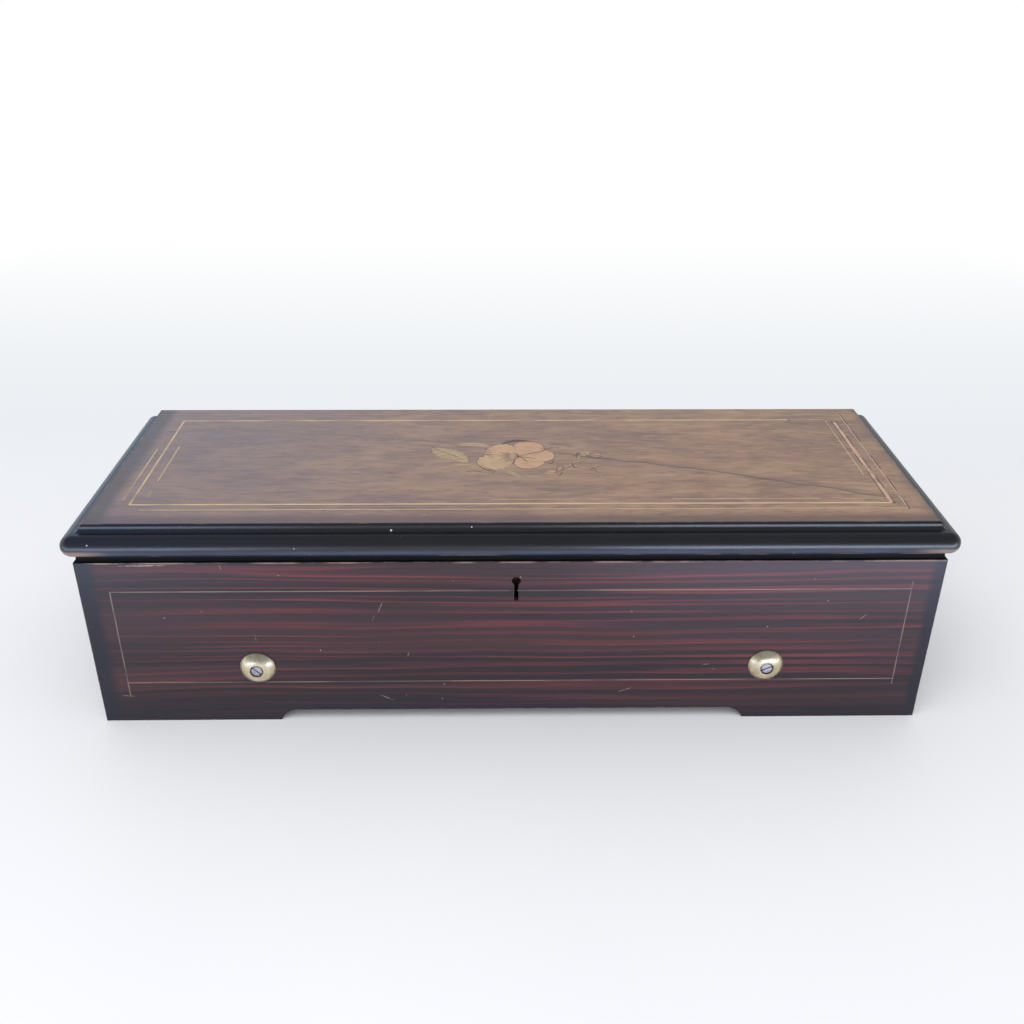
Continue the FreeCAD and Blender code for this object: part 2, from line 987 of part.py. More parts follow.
def glass_knob():
    middle = (left_wall + right_wall) / 2
    return knob(glass_knob_radius, glass_knob_height, V(middle, glass_front + glass_rail / 2, glass_top))


def glass_batten_bar():
    return box(left_wall, right_wall, inside_y - glass_batten, inside_y, partition_top, glass_top)


# Bedplate and its fixings

governor_front_y = worm_y - governor_front
governor_back_y = first_at[0] + governor_back
control_front_y = start_pivot_y - control_end_margin
control_back_y = change_pivot_y + control_end_margin
foot_screw_points = []
for bearing_x in (left_bearing, right_bearing):
    foot_screw_points.append(
        (bearing_x + bearing_thickness / 2, arbor_at[0] + (bearing_half_width + bearing_foot_length) / 2)
    )
for foot_x in (left_bracket - bracket_foot / 2, right_bracket + bracket_thickness + bracket_foot / 2):
    for side in (-1, 1):
        foot_screw_points.append(
            (foot_x, barrel_at[0] + side * (bracket_half_width - bracket_foot_inset))
        )
for foot_y in (governor_front_y + 2 * foot_screw_head, governor_back_y - 2 * foot_screw_head):
    foot_screw_points.append((governor_left + governor_plate + foot_screw_head + pinion_side, foot_y))
for foot_y in (control_front_y + control_foot_inset, control_back_y - control_foot_inset):
    foot_screw_points.append((control_x - control_foot / 2 - control_bracket_wall / 2, foot_y))


def drill_feet(solid):
    """Holes for every foot screw, through the feet and into the bedplate."""
    for x, y in foot_screw_points:
        hole = rod_z(foot_screw_radius + screw_fit, bed_top - foot_screw_bite, foot_top, x, y)
        solid = solid.cut(hole)
    return solid


def bedplate():
    half_width = inside_y - bed_side_gap
    solid = box(bed_left, bed_right, -half_width, half_width, bed_bottom, bed_top)
    for x in (-bed_screw_spread, bed_screw_spread):
        lug = box(x - bed_lug_width / 2, x + bed_lug_width / 2, -inside_y, inside_y, bed_bottom, bed_top)
        solid = solid.fuse(lug)
    solid = solid.removeSplitter()
    for x in (-bed_screw_spread, bed_screw_spread):
        for side in (-1, 1):
            hole = Part.makeCylinder(
                case_screw_radius + screw_fit,
                case_screw_bite,
                V(x, side * inside_y, bed_middle),
                V(0, -side, 0),
            )
            solid = solid.cut(hole)
    return drill_feet(solid)


case_screw_places = [(x, side) for x in (-bed_screw_spread, bed_screw_spread) for side in (-1, 1)]


def case_washer(x, side):
    """Domed brass cup washer, with a seat for the screw head at its apex."""
    hole = case_screw_radius + screw_fit
    seat = case_screw_head_radius + washer_head_gap
    run = seat - washer_radius
    rise = washer_height - washer_rim
    chord = math.hypot(run, rise)
    dome = (
        (washer_radius + seat) / 2 + washer_bulge * rise / chord,
        (washer_rim + washer_height) / 2 - washer_bulge * run / chord,
    )
    washer = turned(
        (hole, 0),
        (washer_radius, 0),
        (washer_radius, washer_rim),
        (dome, (seat, washer_height)),
        (seat, washer_seat),
        (hole, washer_seat),
    )
    return stood(washer, V(x, side * half_depth, bed_middle), V(0, side, 0))


def case_screw(x, side):
    turn = left_slot_turn if x < 0 else right_slot_turn
    screw = slotted_screw(
        case_screw_head_radius,
        case_screw_head_height,
        case_screw_radius,
        washer_seat + board + case_screw_bite,
        turn,
    )
    return stood(screw, V(x, side * (half_depth + washer_seat), bed_middle), V(0, side, 0))


def foot_screws():
    screws = []
    for index, (x, y) in enumerate(foot_screw_points):
        screw = slotted_screw(
            foot_screw_head,
            foot_screw_head_height,
            foot_screw_radius,
            foot_thickness + foot_screw_bite,
            index * foot_slot_step,
        )
        screws.append(stood(screw, V(x, y, foot_top), Z_WAY))
    return screws


# Cylinder and comb


def arbor_bearing(x0):
    x1 = x0 + bearing_thickness
    solid = box(
        x0, x1, arbor_at[0] - bearing_half_width, arbor_at[0] + bearing_half_width, bed_top, arbor_at[1]
    )
    solid = solid.fuse(rod_x(bearing_half_width, x0, x1, arbor_at))
    foot = box(
        x0 - bearing_foot_side,
        x1 + bearing_foot_side,
        arbor_at[0] - bearing_half_width,
        arbor_at[0] + bearing_foot_length,
        bed_top,
        foot_top,
    )
    solid = solid.fuse(foot).removeSplitter()
    return drill_feet(solid.cut(rod_x(journal_radius + shaft_fit, x0, x1, arbor_at)))


def cylinder_arbor():
    left = left_bearing + bearing_thickness + arbor_end_play
    right = right_bearing - arbor_end_play
    end = right_bearing + bearing_thickness + arbor_overhang
    solid = rod_x(arbor_radius, left, right, arbor_at)
    return solid.fuse(rod_x(journal_radius, left_bearing - arbor_overhang, end, arbor_at))


def cylinder_tube():
    solid = rod_x(cylinder_radius, cylinder_left, cylinder_right, arbor_at)
    return solid.cut(rod_x(cylinder_radius - cylinder_wall, cylinder_left, cylinder_right, arbor_at))


def cylinder_caps():
    caps = []
    for x0 in (cylinder_left, cylinder_right - cylinder_cap):
        x1 = x0 + cylinder_cap
        disc = rod_x(cylinder_radius - cylinder_wall, x0, x1, arbor_at)
        caps.append(disc.cut(rod_x(arbor_radius + shaft_fit, x0, x1, arbor_at)))
    return caps


comb_screw_count = int((comb_right - comb_left - 2 * comb_screw_inset) / comb_screw_pitch) + 1
comb_screw_start = (comb_left + comb_right - (comb_screw_count - 1) * comb_screw_pitch) / 2
comb_screw_xs = [comb_screw_start + index * comb_screw_pitch for index in range(comb_screw_count)]
comb_screw_y = (comb_front + comb_back) / 2


def drill_comb(solid):
    for x in comb_screw_xs:
        bottom = arbor_at[1] - comb_screw_bite
        solid = solid.cut(rod_z(comb_screw_radius + screw_fit, bottom, arbor_at[1], x, comb_screw_y))
    return solid


def comb():
    """Steel comb: a thick heel and teeth that reach to the cylinder's pins."""
    z = arbor_at[1] - tooth_thickness
    points = [V(comb_left, comb_front, z)]
    for tooth in range(comb_teeth):
        left = comb_left + tooth * tooth_pitch
        right = left + tooth_pitch - tooth_slot
        if tooth:
            points.append(V(left, comb_back + tooth_root, z))
        points.append(V(left, comb_tip, z))
        points.append(V(right, comb_tip, z))
        if tooth < comb_teeth - 1:
            points.append(V(right, comb_back + tooth_root, z))
    points.append(V(comb_right, comb_front, z))
    plate = prism(outline(*points), V(0, 0, tooth_thickness))
    heel = box(comb_left, comb_right, comb_front, comb_back, comb_base_top, z)
    return drill_comb(plate.fuse(heel).removeSplitter())


def comb_base():
    return drill_comb(box(comb_left, comb_right, comb_front, comb_back, bed_top, comb_base_top))


def comb_screws():
    screws = []
    for index, x in enumerate(comb_screw_xs):
        turn = index * comb_slot_step
        screw = slotted_screw(
            comb_screw_head, comb_screw_head_height, comb_screw_radius, comb_screw_bite, turn
        )
        screws.append(stood(screw, V(x, comb_screw_y, arbor_at[1]), Z_WAY))
    return screws


def comb_weights():
    """Lead weights under the deep teeth, tallest under the deepest tooth."""
    weights = []
    count = int(comb_teeth * weight_share)
    top = arbor_at[1] - tooth_thickness
    for tooth in range(count):
        left = comb_left + tooth * tooth_pitch
        height = weight_tallest + (weight_shortest - weight_tallest) * tooth / count
        back = comb_tip - weight_setback
        weights.append(
            box(left, left + tooth_pitch - tooth_slot, back - weight_length, back, top - height, top)
        )
    return weights


# Spring barrel and winding

drive_aim = math.atan2(barrel_at[1] - arbor_at[1], barrel_at[0] - arbor_at[0])
barrel_inner = barrel_radius - barrel_wall
cover_right = barrel_left + barrel_end


def spring_barrel():
    """Drum with the driving gear cut on its right end."""
    bore = barrel_arbor_radius + shaft_fit
    drum = rod_x(barrel_radius, barrel_left, barrel_gear_left, barrel_at)
    drum = drum.cut(rod_x(barrel_inner, barrel_left, barrel_gear_left, barrel_at))
    aim = drive_aim + math.pi
    wheel = gear(
        barrel_gear_left, barrel_gear_right, barrel_at, barrel_teeth, drive_module, aim, True, bore
    )
    return drum.fuse(wheel)


def drive_pinion():
    return gear(
        pinion_left, pinion_right, arbor_at, drive_pinion_teeth, drive_module, drive_aim, False, arbor_radius
    )


def barrel_cover():
    disc = rod_x(barrel_inner, barrel_left, cover_right, barrel_at)
    return disc.cut(rod_x(barrel_arbor_radius + shaft_fit, barrel_left, cover_right, barrel_at))


def mainspring():
    """Flat spring coiled in the drum, each half turn an arc about one of two centres."""
    x0 = cover_right + spring_end_gap
    step = spring_pitch / 2
    inner = barrel_core_radius + spring_gap

    def bend(index, offset):
        centre = (barrel_at[0] + (step if index % 2 else 0.0), barrel_at[1])
        radius = inner + index * step + offset
        return [at(x0, polar(centre, radius, (index + part) * math.pi)) for part in (0.0, 0.5, 1.0)]

    halves = range(2 * spring_turns)
    steps = [bend(0, 0.0)[0]]
    for index in halves:
        middle, end = bend(index, 0.0)[1:]
        steps.append((middle, end))
    steps.append(bend(halves[-1], spring_thickness)[2])
    for index in reversed(halves):
        start, middle = bend(index, spring_thickness)[:2]
        steps.append((middle, start))
    return prism(outline(*steps), V(barrel_gear_left - spring_end_gap - x0, 0, 0))


def barrel_arbor():
    """Winding arbor, with its core in the drum and the collar that keeps the lever on."""
    cap_right = lever_left - lever_end_play
    cap_left = cap_right - lever_end_cap
    right = right_bracket + bracket_thickness + arbor_end_play
    solid = rod_x(barrel_journal_radius, cap_left, right, barrel_at)
    shoulder_left = left_bracket + bracket_thickness + arbor_end_play
    solid = solid.fuse(
        rod_x(barrel_arbor_radius, shoulder_left, right_bracket - arbor_end_play, barrel_at)
    )
    core = rod_x(
        barrel_core_radius, cover_right + spring_end_gap, barrel_gear_left - spring_end_gap, barrel_at
    )
    return solid.fuse(core).fuse(rod_x(lever_end_cap_radius, cap_left, cap_right, barrel_at))


def barrel_bracket(x0, foot_x0):
    """Upright that carries one end of the barrel arbor."""
    y0 = barrel_at[0] - bracket_half_width
    y1 = barrel_at[0] + bracket_half_width
    top = barrel_at[1] + bracket_top
    wire = outline(
        V(x0, y0, bed_top),
        V(x0, y1, bed_top),
        V(x0, y1, top - bracket_chamfer),
        V(x0, y1 - bracket_chamfer, top),
        V(x0, y0 + bracket_chamfer, top),
        V(x0, y0, top - bracket_chamfer),
    )
    solid = prism(wire, V(bracket_thickness, 0, 0))
    solid = solid.fuse(box(foot_x0, foot_x0 + bracket_foot, y0, y1, bed_top, foot_top))
    bore = rod_x(barrel_journal_radius + shaft_fit, x0, x0 + bracket_thickness, barrel_at)
    return drill_feet(solid.removeSplitter().cut(bore))


click_pivot = polar(barrel_at, click_pivot_reach, click_aim - click_span)
click_post = polar(barrel_at, click_spring_reach, click_aim + click_spring_span)


def left_bracket_solid():
    """Left bracket with the click's pivot pin and the spring's post."""
    solid = barrel_bracket(left_bracket, left_bracket - bracket_foot)
    pin = rod_x(click_pin_radius, ratchet_left, left_bracket, click_pivot)
    post = rod_x(click_spring_post, ratchet_left, left_bracket, click_post)
    return solid.fuse(pin).fuse(post)


def right_bracket_solid():
    return barrel_bracket(right_bracket, right_bracket + bracket_thickness)


def click():
    """Pawl that drops behind a ratchet tooth."""

    def on(radius, lag):
        return polar(barrel_at, radius, click_aim - lag)

    root = ratchet_radius - ratchet_depth
    tip = on(root + click_fit, click_fit / root)
    crest = on(ratchet_radius + click_rise, click_fit / ratchet_radius)
    heel = on(ratchet_radius + 2 * click_fit + click_rise / 3, 2 * math.pi / ratchet_teeth)
    run = (crest[0] - click_pivot[0], crest[1] - click_pivot[1])
    length = math.hypot(*run)
    side = (-run[1] / length * click_arm, run[0] / length * click_arm)
    outer = (click_pivot[0] - side[0], click_pivot[1] - side[1])
    inner = (click_pivot[0] + side[0], click_pivot[1] + side[1])
    wire = outline(*[at(ratchet_left, point) for point in (tip, crest, outer, inner, heel)])
    solid = prism(wire, V(ratchet_thickness, 0, 0))
    solid = solid.fuse(rod_x(click_boss_radius, ratchet_left, ratchet_right, click_pivot))
    bore = rod_x(click_pin_radius + shaft_fit, ratchet_left, ratchet_right, click_pivot)
    return solid.removeSplitter().cut(bore)


def click_spring():
    """Flat strip from its post to the back of the click."""
    half = click_spring_thickness / 2
    start_r = click_spring_reach + click_spring_post + click_spring_lift
    end_r = ratchet_radius + click_rise + half
    points = [
        polar(barrel_at, start_r, click_aim + click_spring_span),
        polar(barrel_at, end_r, click_aim - click_spring_tip),
        polar(barrel_at, end_r + click_spring_thickness, click_aim - click_spring_tip),
        polar(barrel_at, start_r + click_spring_thickness, click_aim + click_spring_span),
    ]
    return prism(outline(*[at(ratchet_left, point) for point in points]), V(ratchet_thickness, 0, 0))


def winding_lever():
    """Hub and arm, drawn level to the front and then dropped to their rest."""
    solid = rod_x(lever_hub_radius, lever_left, lever_right, barrel_at)
    front = barrel_at[0] - lever_arm_length
    arm = box(
        lever_left + lever_cheek,
        lever_right - lever_cheek,
        front,
        barrel_at[0],
        barrel_at[1] - lever_arm_width / 2,
        barrel_at[1] + lever_arm_width / 2,
    )
    middle = (lever_left + lever_right) / 2
    tang = Part.makeCylinder(grip_bore_radius, grip_tang, V(middle, front, barrel_at[1]), V(0, -1, 0))
    solid = solid.fuse(arm).fuse(tang).removeSplitter()
    solid = solid.cut(rod_x(barrel_journal_radius + shaft_fit, lever_left, lever_right, barrel_at))
    solid.rotate(at(0, barrel_at), X_WAY, math.degrees(lever_drop))
    return solid


def winding_grip():
    """Turned handle on the lever's tang."""
    grip = turned(
        (grip_bore_radius, 0),
        (grip_neck, 0),
        (((grip_neck + grip_radius) / 2, grip_shoulder / 3), (grip_radius, grip_shoulder)),
        ((grip_crown_radius, grip_length - grip_crown), (grip_tip, grip_length)),
        (0, grip_length),
        (0, grip_tang),
        (grip_bore_radius, grip_tang),
    )
    middle = (lever_left + lever_right) / 2
    stood(grip, V(middle, barrel_at[0] - lever_arm_length, barrel_at[1]), V(0, -1, 0))
    grip.rotate(at(0, barrel_at), X_WAY, math.degrees(lever_drop))
    return grip


def lever_stop():
    """Peg in the partition that the lever rests on."""
    arm_point = polar(barrel_at, lever_stop_reach, math.pi + lever_drop)
    drop = lever_arm_width / 2 + lever_stop_gap + lever_stop_radius
    peg = polar(arm_point, drop, math.pi * 1.5 + lever_drop)
    return rod_x(lever_stop_radius, lever_left, left_wall, peg)


# Governor


def great_wheel():
    solid = gear(
        great_left, great_right, arbor_at, great_teeth, great_module, first_aim, False, arbor_radius
    )
    for index in range(great_holes):
        hole_at = polar(arbor_at, great_hole_reach, index * 2 * math.pi / great_holes)
        solid = solid.cut(rod_x(great_hole_radius, great_left, great_right, hole_at))
    return solid


def governor_arbor(centre, teeth, module, aim, x0, x1, radius, pivot):
    """Steel arbor with its cut pinion, running in the two governor plates."""
    left = governor_left + governor_plate + arbor_end_play
    right = governor_right - governor_plate - arbor_end_play
    solid = gear(x0, x1, centre, teeth, module, aim + math.pi, True, radius)
    solid = solid.fuse(rod_x(radius, left, right, centre))
    return solid.fuse(rod_x(pivot, governor_left, governor_right, centre)).removeSplitter()


def first_arbor():
    return governor_arbor(
        first_at,
        first_pinion_teeth,
        great_module,
        first_aim,
        great_left - pinion_side,
        great_right + pinion_side,
        first_arbor_radius,
        first_pivot_radius,
    )


def first_wheel():
    left = first_wheel_left
    right = left + wheel_thickness
    return gear(
        left, right, first_at, first_wheel_teeth, fine_module, second_aim, False, first_arbor_radius
    )


def second_arbor():
    return governor_arbor(
        second_at,
        second_pinion_teeth,
        fine_module,
        second_aim,
        first_wheel_left - pinion_side,
        first_wheel_left + wheel_thickness + pinion_side,
        second_arbor_radius,
        second_pivot_radius,
    )


def second_wheel():
    """Worm wheel on the second arbor, with a gap facing the worm's thread."""
    left = worm_x - wheel_thickness / 2
    right = worm_x + wheel_thickness / 2
    return gear(
        left, right, second_at, worm_wheel_teeth, fine_module, math.pi, True, second_arbor_radius,
        worm_tooth_thinning,
    )


fan_bottom = second_at[1] + fan_lift
fan_top = fan_bottom + fan_height
cock_bottom = fan_top + fan_headroom


def fly_worm():
    """Upright spindle with a single right-hand thread that the worm wheel drives."""
    pitch = math.pi * fine_module
    length = worm_turns * pitch
    low = second_at[1] - length / 2
    inner = worm_core_radius - worm_crest / 2
    crest = worm_pitch_radius + worm_crest
    root_half = worm_thread / 2 + worm_crest / 4
    crest_half = worm_thread / 2 - worm_crest / 4
    section = outline(
        V(inner, 0, -root_half), V(crest, 0, -crest_half), V(crest, 0, crest_half), V(inner, 0, root_half)
    )
    thread = Part.makeHelix(pitch, length, worm_pitch_radius).makePipeShell([section], True, True)
    # The thread crosses the wheel's side, a quarter turn on from its start, level with the wheel's centre
    turn = (worm_turns / 2 - 0.25) * 360
    thread.rotate(V(0, 0, 0), Z_WAY, -turn)
    thread.translate(V(worm_x, worm_y, low))
    solid = rod_z(worm_core_radius, low - root_half, low + length + root_half, worm_x, worm_y).fuse(thread)
    solid = solid.fuse(
        rod_z(spindle_radius, foot_top + spindle_end_play, cock_bottom - spindle_end_play, worm_x, worm_y)
    )
    pivot_low = bed_top + spindle_end_play
    return solid.fuse(rod_z(spindle_pivot, pivot_low, cock_bottom + spindle_top_bite, worm_x, worm_y))


def fly_vanes():
    """Two-winged fan that brakes the movement."""
    solid = rod_z(fan_hub_radius, fan_bottom, fan_top, worm_x, worm_y)
    blade = box(
        worm_x - fan_radius,
        worm_x + fan_radius,
        worm_y - fan_blade / 2,
        worm_y + fan_blade / 2,
        fan_bottom,
        fan_top,
    )
    bore = rod_z(spindle_radius, fan_bottom, fan_top, worm_x, worm_y)
    return solid.fuse(blade).cut(bore)


post_front = worm_y + fan_radius + cock_post_gap
post_back = post_front + cock_post
cock_screw_at = (governor_right - cock_post_thickness / 2, (post_front + post_back) / 2)


def governor_frame():
    """Base and two plates for the train's pivots, with a post for the upper cock."""
    plate_top = first_at[1] + governor_top
    solid = box(governor_left, governor_right, governor_front_y, governor_back_y, bed_top, foot_top)
    for x0 in (governor_left, governor_right - governor_plate):
        solid = solid.fuse(
            box(x0, x0 + governor_plate, governor_front_y, governor_back_y, foot_top, plate_top)
        )
    post = box(
        governor_right - cock_post_thickness, governor_right, post_front, post_back, plate_top, cock_bottom
    )
    solid = solid.fuse(post).removeSplitter()
    for pivot, centre in ((first_pivot_radius, first_at), (second_pivot_radius, second_at)):
        solid = solid.cut(rod_x(pivot + shaft_fit, governor_left, governor_right, centre))
    solid = solid.cut(rod_z(spindle_pivot + shaft_fit, bed_top, foot_top, worm_x, worm_y))
    solid = solid.cut(
        rod_z(foot_screw_radius + screw_fit, cock_bottom - foot_screw_bite, cock_bottom, *cock_screw_at)
    )
    return drill_feet(solid)


def governor_cock():
    """Bar over the fan that holds the spindle's upper pivot."""
    top = cock_bottom + cock_thickness
    solid = box(worm_x - cock_side, governor_right, worm_y - cock_side, post_back, cock_bottom, top)
    pivot_top = cock_bottom + spindle_top_bite + shaft_fit
    solid = solid.cut(rod_z(spindle_pivot + shaft_fit, cock_bottom, pivot_top, worm_x, worm_y))
    return solid.cut(rod_z(foot_screw_radius + screw_fit, cock_bottom, top, *cock_screw_at))


def cock_screw():
    screw = slotted_screw(
        foot_screw_head,
        foot_screw_head_height,
        foot_screw_radius,
        cock_thickness + foot_screw_bite,
        foot_slot_step,
    )
    return stood(screw, V(cock_screw_at[0], cock_screw_at[1], cock_bottom + cock_thickness), Z_WAY)


# Start and change levers


def control_bracket():
    """Bracket on the bedplate with a stud for each lever."""
    wall = control_bracket_wall / 2
    solid = box(
        control_x - wall, control_x + wall, control_front_y, control_back_y, bed_top, control_z
    )
    shelf = box(
        control_x - control_shelf_half,
        control_x + control_shelf_half,
        control_front_y,
        control_back_y,
        control_z - control_shelf,
        control_z,
    )
    foot = box(
        control_x - wall - control_foot, control_x - wall, control_front_y, control_back_y, bed_top, foot_top
    )
    solid = solid.fuse(shelf).fuse(foot).removeSplitter()
    stud_top = control_z + control_lever_gap + control_lever_thickness + control_stud_proud
    for pivot in (start_pivot_y, change_pivot_y):
        solid = solid.fuse(rod_z(control_stud_radius, control_z, stud_top, control_x, pivot))
    return drill_feet(solid)


def control_lever(pivot):
    """Flat lever on its stud, with a finger to the left and a knob at the right."""
    low = control_z + control_lever_gap
    top = low + control_lever_thickness
    half = control_lever_width / 2
    left = control_x - control_finger
    right = control_x + control_reach
    wire = outline(
        V(left + half, pivot - half, low),
        V(right - half, pivot - half, low),
        (V(right, pivot, low), V(right - half, pivot + half, low)),
        V(left + half, pivot + half, low),
        (V(left, pivot, low), V(left + half, pivot - half, low)),
    )
    solid = prism(wire, V(0, 0, control_lever_thickness))
    solid = solid.cut(rod_z(control_stud_radius + shaft_fit, low, top, control_x, pivot))
    foot = V(right - control_knob_radius, pivot, top)
    return solid.fuse(knob(control_knob_radius, control_knob_height, foot))


os.makedirs("parts", exist_ok=True)

save("case_front", case_front())
save("case_back", case_back())
save("case_ends", case_end(-half_length), case_end(inside_x))
save("case_floor", box(-inside_x, inside_x, -inside_y, inside_y, floor_lift, floor_top))
save("partitions", *partition_boards())
save("bed_bearers", *bed_bearers())
save("case_washers", *[case_washer(x, side) for x, side in case_screw_places])
save("case_screws", *[case_screw(x, side) for x, side in case_screw_places])
save("lock_case", lock_case())
save("lock_bolt", lock_bolt())

lid_hinges = [lid_hinge(centre) for centre in (-hinge_spread, hinge_spread)]
save("hinge_lower_leaves", *[hinge[0] for hinge in lid_hinges])
save("hinge_upper_leaves", *[hinge[1] for hinge in lid_hinges])
save("hinge_pins", *[hinge[2] for hinge in lid_hinges])
save("lid_panel", lid_panel())
save("moulding_front", moulding_front())
save("moulding_sides", moulding_side(-1), moulding_side(1))
save("lid_back_rail", lid_back_rail())
save("link_plate", link_plate())
save("tune_card", tune_card())

glass_hinges = [glass_hinge(centre) for centre in (-glass_hinge_spread, glass_hinge_spread)]
save("glass_hinge_fixed", *[hinge[0] for hinge in glass_hinges])
save("glass_hinge_moving", *[hinge[1] for hinge in glass_hinges])
save("glass_batten", glass_batten_bar())
save("glass_frame", glass_frame())
save("glass_pane", glass_pane())
save("glass_knob", glass_knob())

save("bedplate", bedplate())
save("foot_screws", *foot_screws(), cock_screw())
save("arbor_bearings", arbor_bearing(left_bearing), arbor_bearing(right_bearing))
save("cylinder_arbor", cylinder_arbor())
save("cylinder_tube", cylinder_tube())
save("cylinder_caps", *cylinder_caps())
save("drive_pinion", drive_pinion())
save("comb", comb())
save("comb_base", comb_base())
save("comb_screws", *comb_screws())
save("comb_weights", *comb_weights())

save("barrel_brackets", left_bracket_solid(), right_bracket_solid())
save("barrel_arbor", barrel_arbor())
save("spring_barrel", spring_barrel())
save("barrel_cover", barrel_cover())
save("mainspring", mainspring())
save("ratchet_wheel", ratchet_wheel())
save("click", click())
save("click_spring", click_spring())
save("winding_lever", winding_lever())
save("winding_grip", winding_grip())
save("lever_stop", lever_stop())

save("great_wheel", great_wheel())
save("governor_frame", governor_frame())
save("governor_cock", governor_cock())
save("first_arbor", first_arbor())
save("first_wheel", first_wheel())
save("second_arbor", second_arbor())
save("second_wheel", second_wheel())
save("fly_worm", fly_worm())
save("fly_vanes", fly_vanes())
save("control_bracket", control_bracket())
save("start_lever", control_lever(start_pivot_y))
save("change_lever", control_lever(change_pivot_y))
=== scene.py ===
import json
import math
import random

import bmesh
import bpy
from mathutils import Matrix, Vector


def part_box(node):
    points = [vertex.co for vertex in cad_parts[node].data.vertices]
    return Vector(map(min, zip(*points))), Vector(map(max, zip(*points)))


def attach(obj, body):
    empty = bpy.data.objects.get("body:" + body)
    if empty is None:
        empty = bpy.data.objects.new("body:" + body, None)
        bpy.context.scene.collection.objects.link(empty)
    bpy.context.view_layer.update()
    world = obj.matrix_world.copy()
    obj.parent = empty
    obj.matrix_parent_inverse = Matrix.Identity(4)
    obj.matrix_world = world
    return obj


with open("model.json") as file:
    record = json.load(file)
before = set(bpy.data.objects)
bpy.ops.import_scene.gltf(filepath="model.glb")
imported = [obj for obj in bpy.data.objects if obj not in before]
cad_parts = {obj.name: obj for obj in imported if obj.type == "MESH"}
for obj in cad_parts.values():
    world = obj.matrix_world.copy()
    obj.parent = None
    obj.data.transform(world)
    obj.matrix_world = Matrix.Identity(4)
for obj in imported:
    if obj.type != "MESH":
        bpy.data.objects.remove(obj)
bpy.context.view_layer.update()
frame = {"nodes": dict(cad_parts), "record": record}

# Looks of a cylinder music box. Lengths are written in millimetres and turned into metres with MM.
MM = 0.001

# Faces of the frame that the materials and the added pieces refer to
panel_low, panel_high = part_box("lid_panel")
front_low, front_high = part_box("case_front")
tube_low, tube_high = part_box("cylinder_tube")
comb_low, comb_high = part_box("comb")
card_low, card_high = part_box("tune_card")
lid_top = panel_high.z
front_face = front_low.y
case_top = front_high.z
half_length = front_high.x

# Heights between which the case's outer edge steps back into the gap under the lid; above them the
# materials paint the gap's shade near black
RIM_STEP = (case_top - 1.74 * MM, case_top - 1.71 * MM)

# Camera of the photograph: focal length in pixels of a 1024 pixel frame, angles in degrees
FRAME_PIXELS = 1024
FOCAL_PIXELS = 1056.38
CAMERA_AT = Vector((-10.07, -581.36, 404.20)) * MM
CAMERA_YAW = 1.06
CAMERA_PITCH = 28.01
CAMERA_ROLL = -0.31
SENSOR = 36.0


def srgb(red, green, blue):
    """Linear colour of a screen colour given from 0 to 255."""

    def linear(level):
        share = level / 255
        return share / 12.92 if share <= 0.04045 else ((share + 0.055) / 1.055) ** 2.4

    return (linear(red), linear(green), linear(blue), 1.0)


# Node materials

SOCKETS = {
    "color": "Base Color",
    "metallic": "Metallic",
    "roughness": "Roughness",
    "ior": "IOR",
    "normal": "Normal",
    "specular": "Specular IOR Level",
    "transmission": "Transmission Weight",
}


class Nodes:
    """A node tree, with short ways to add and join its nodes."""

    def __init__(self, tree):
        self.nodes = tree.nodes
        self.links = tree.links

    def feed(self, socket, value):
        """Link a socket to a node's output, or set it to a plain value."""
        if isinstance(value, bpy.types.NodeSocket):
            self.links.new(value, socket)
        else:
            socket.default_value = value

    def feed_all(self, node, values):
        for index, value in enumerate(values):
            self.feed(node.inputs[index], value)

    def split(self, vector):
        """X, Y and Z of a vector."""
        node = self.nodes.new("ShaderNodeSeparateXYZ")
        self.links.new(vector, node.inputs[0])
        return node.outputs

    def join(self, x, y, z):
        node = self.nodes.new("ShaderNodeCombineXYZ")
        self.feed_all(node, (x, y, z))
        return node.outputs[0]

    def calc(self, operation, *values):
        node = self.nodes.new("ShaderNodeMath")
        node.operation = operation
        self.feed_all(node, values)
        return node.outputs[0]

    def add(self, first, second):
        return self.calc("ADD", first, second)

    def minus(self, first, second):
        return self.calc("SUBTRACT", first, second)

    def times(self, first, second):
        return self.calc("MULTIPLY", first, second)

    def most(self, first, second):
        return self.calc("MAXIMUM", first, second)

    def ease(self, value, low, high, start=0.0, end=1.0):
        """Smooth step of a value from start at low to end at high."""
        node = self.nodes.new("ShaderNodeMapRange")
        node.interpolation_type = "SMOOTHSTEP"
        self.feed_all(node, (value, low, high, start, end))
        return node.outputs[0]

    def mix(self, share, first, second):
        """Colour that runs from the first at a share of 0 to the second at 1."""
        node = self.nodes.new("ShaderNodeMix")
        node.data_type = "RGBA"
        self.feed(node.inputs["Factor"], share)
        self.feed(node.inputs[6], first)
        self.feed(node.inputs[7], second)
        return node.outputs[2]

    def shine(self, kind, color):
        """Shader node of that kind, which sends out one colour."""
        node = self.nodes.new(kind)
        self.feed(node.inputs["Color"], color)
        return node.outputs[0]

    def either(self, share, first, second):
        """Shader that runs from the first at a share of 0 to the second at 1."""
        node = self.nodes.new("ShaderNodeMixShader")
        self.feed_all(node, (share, first, second))
        return node.outputs[0]


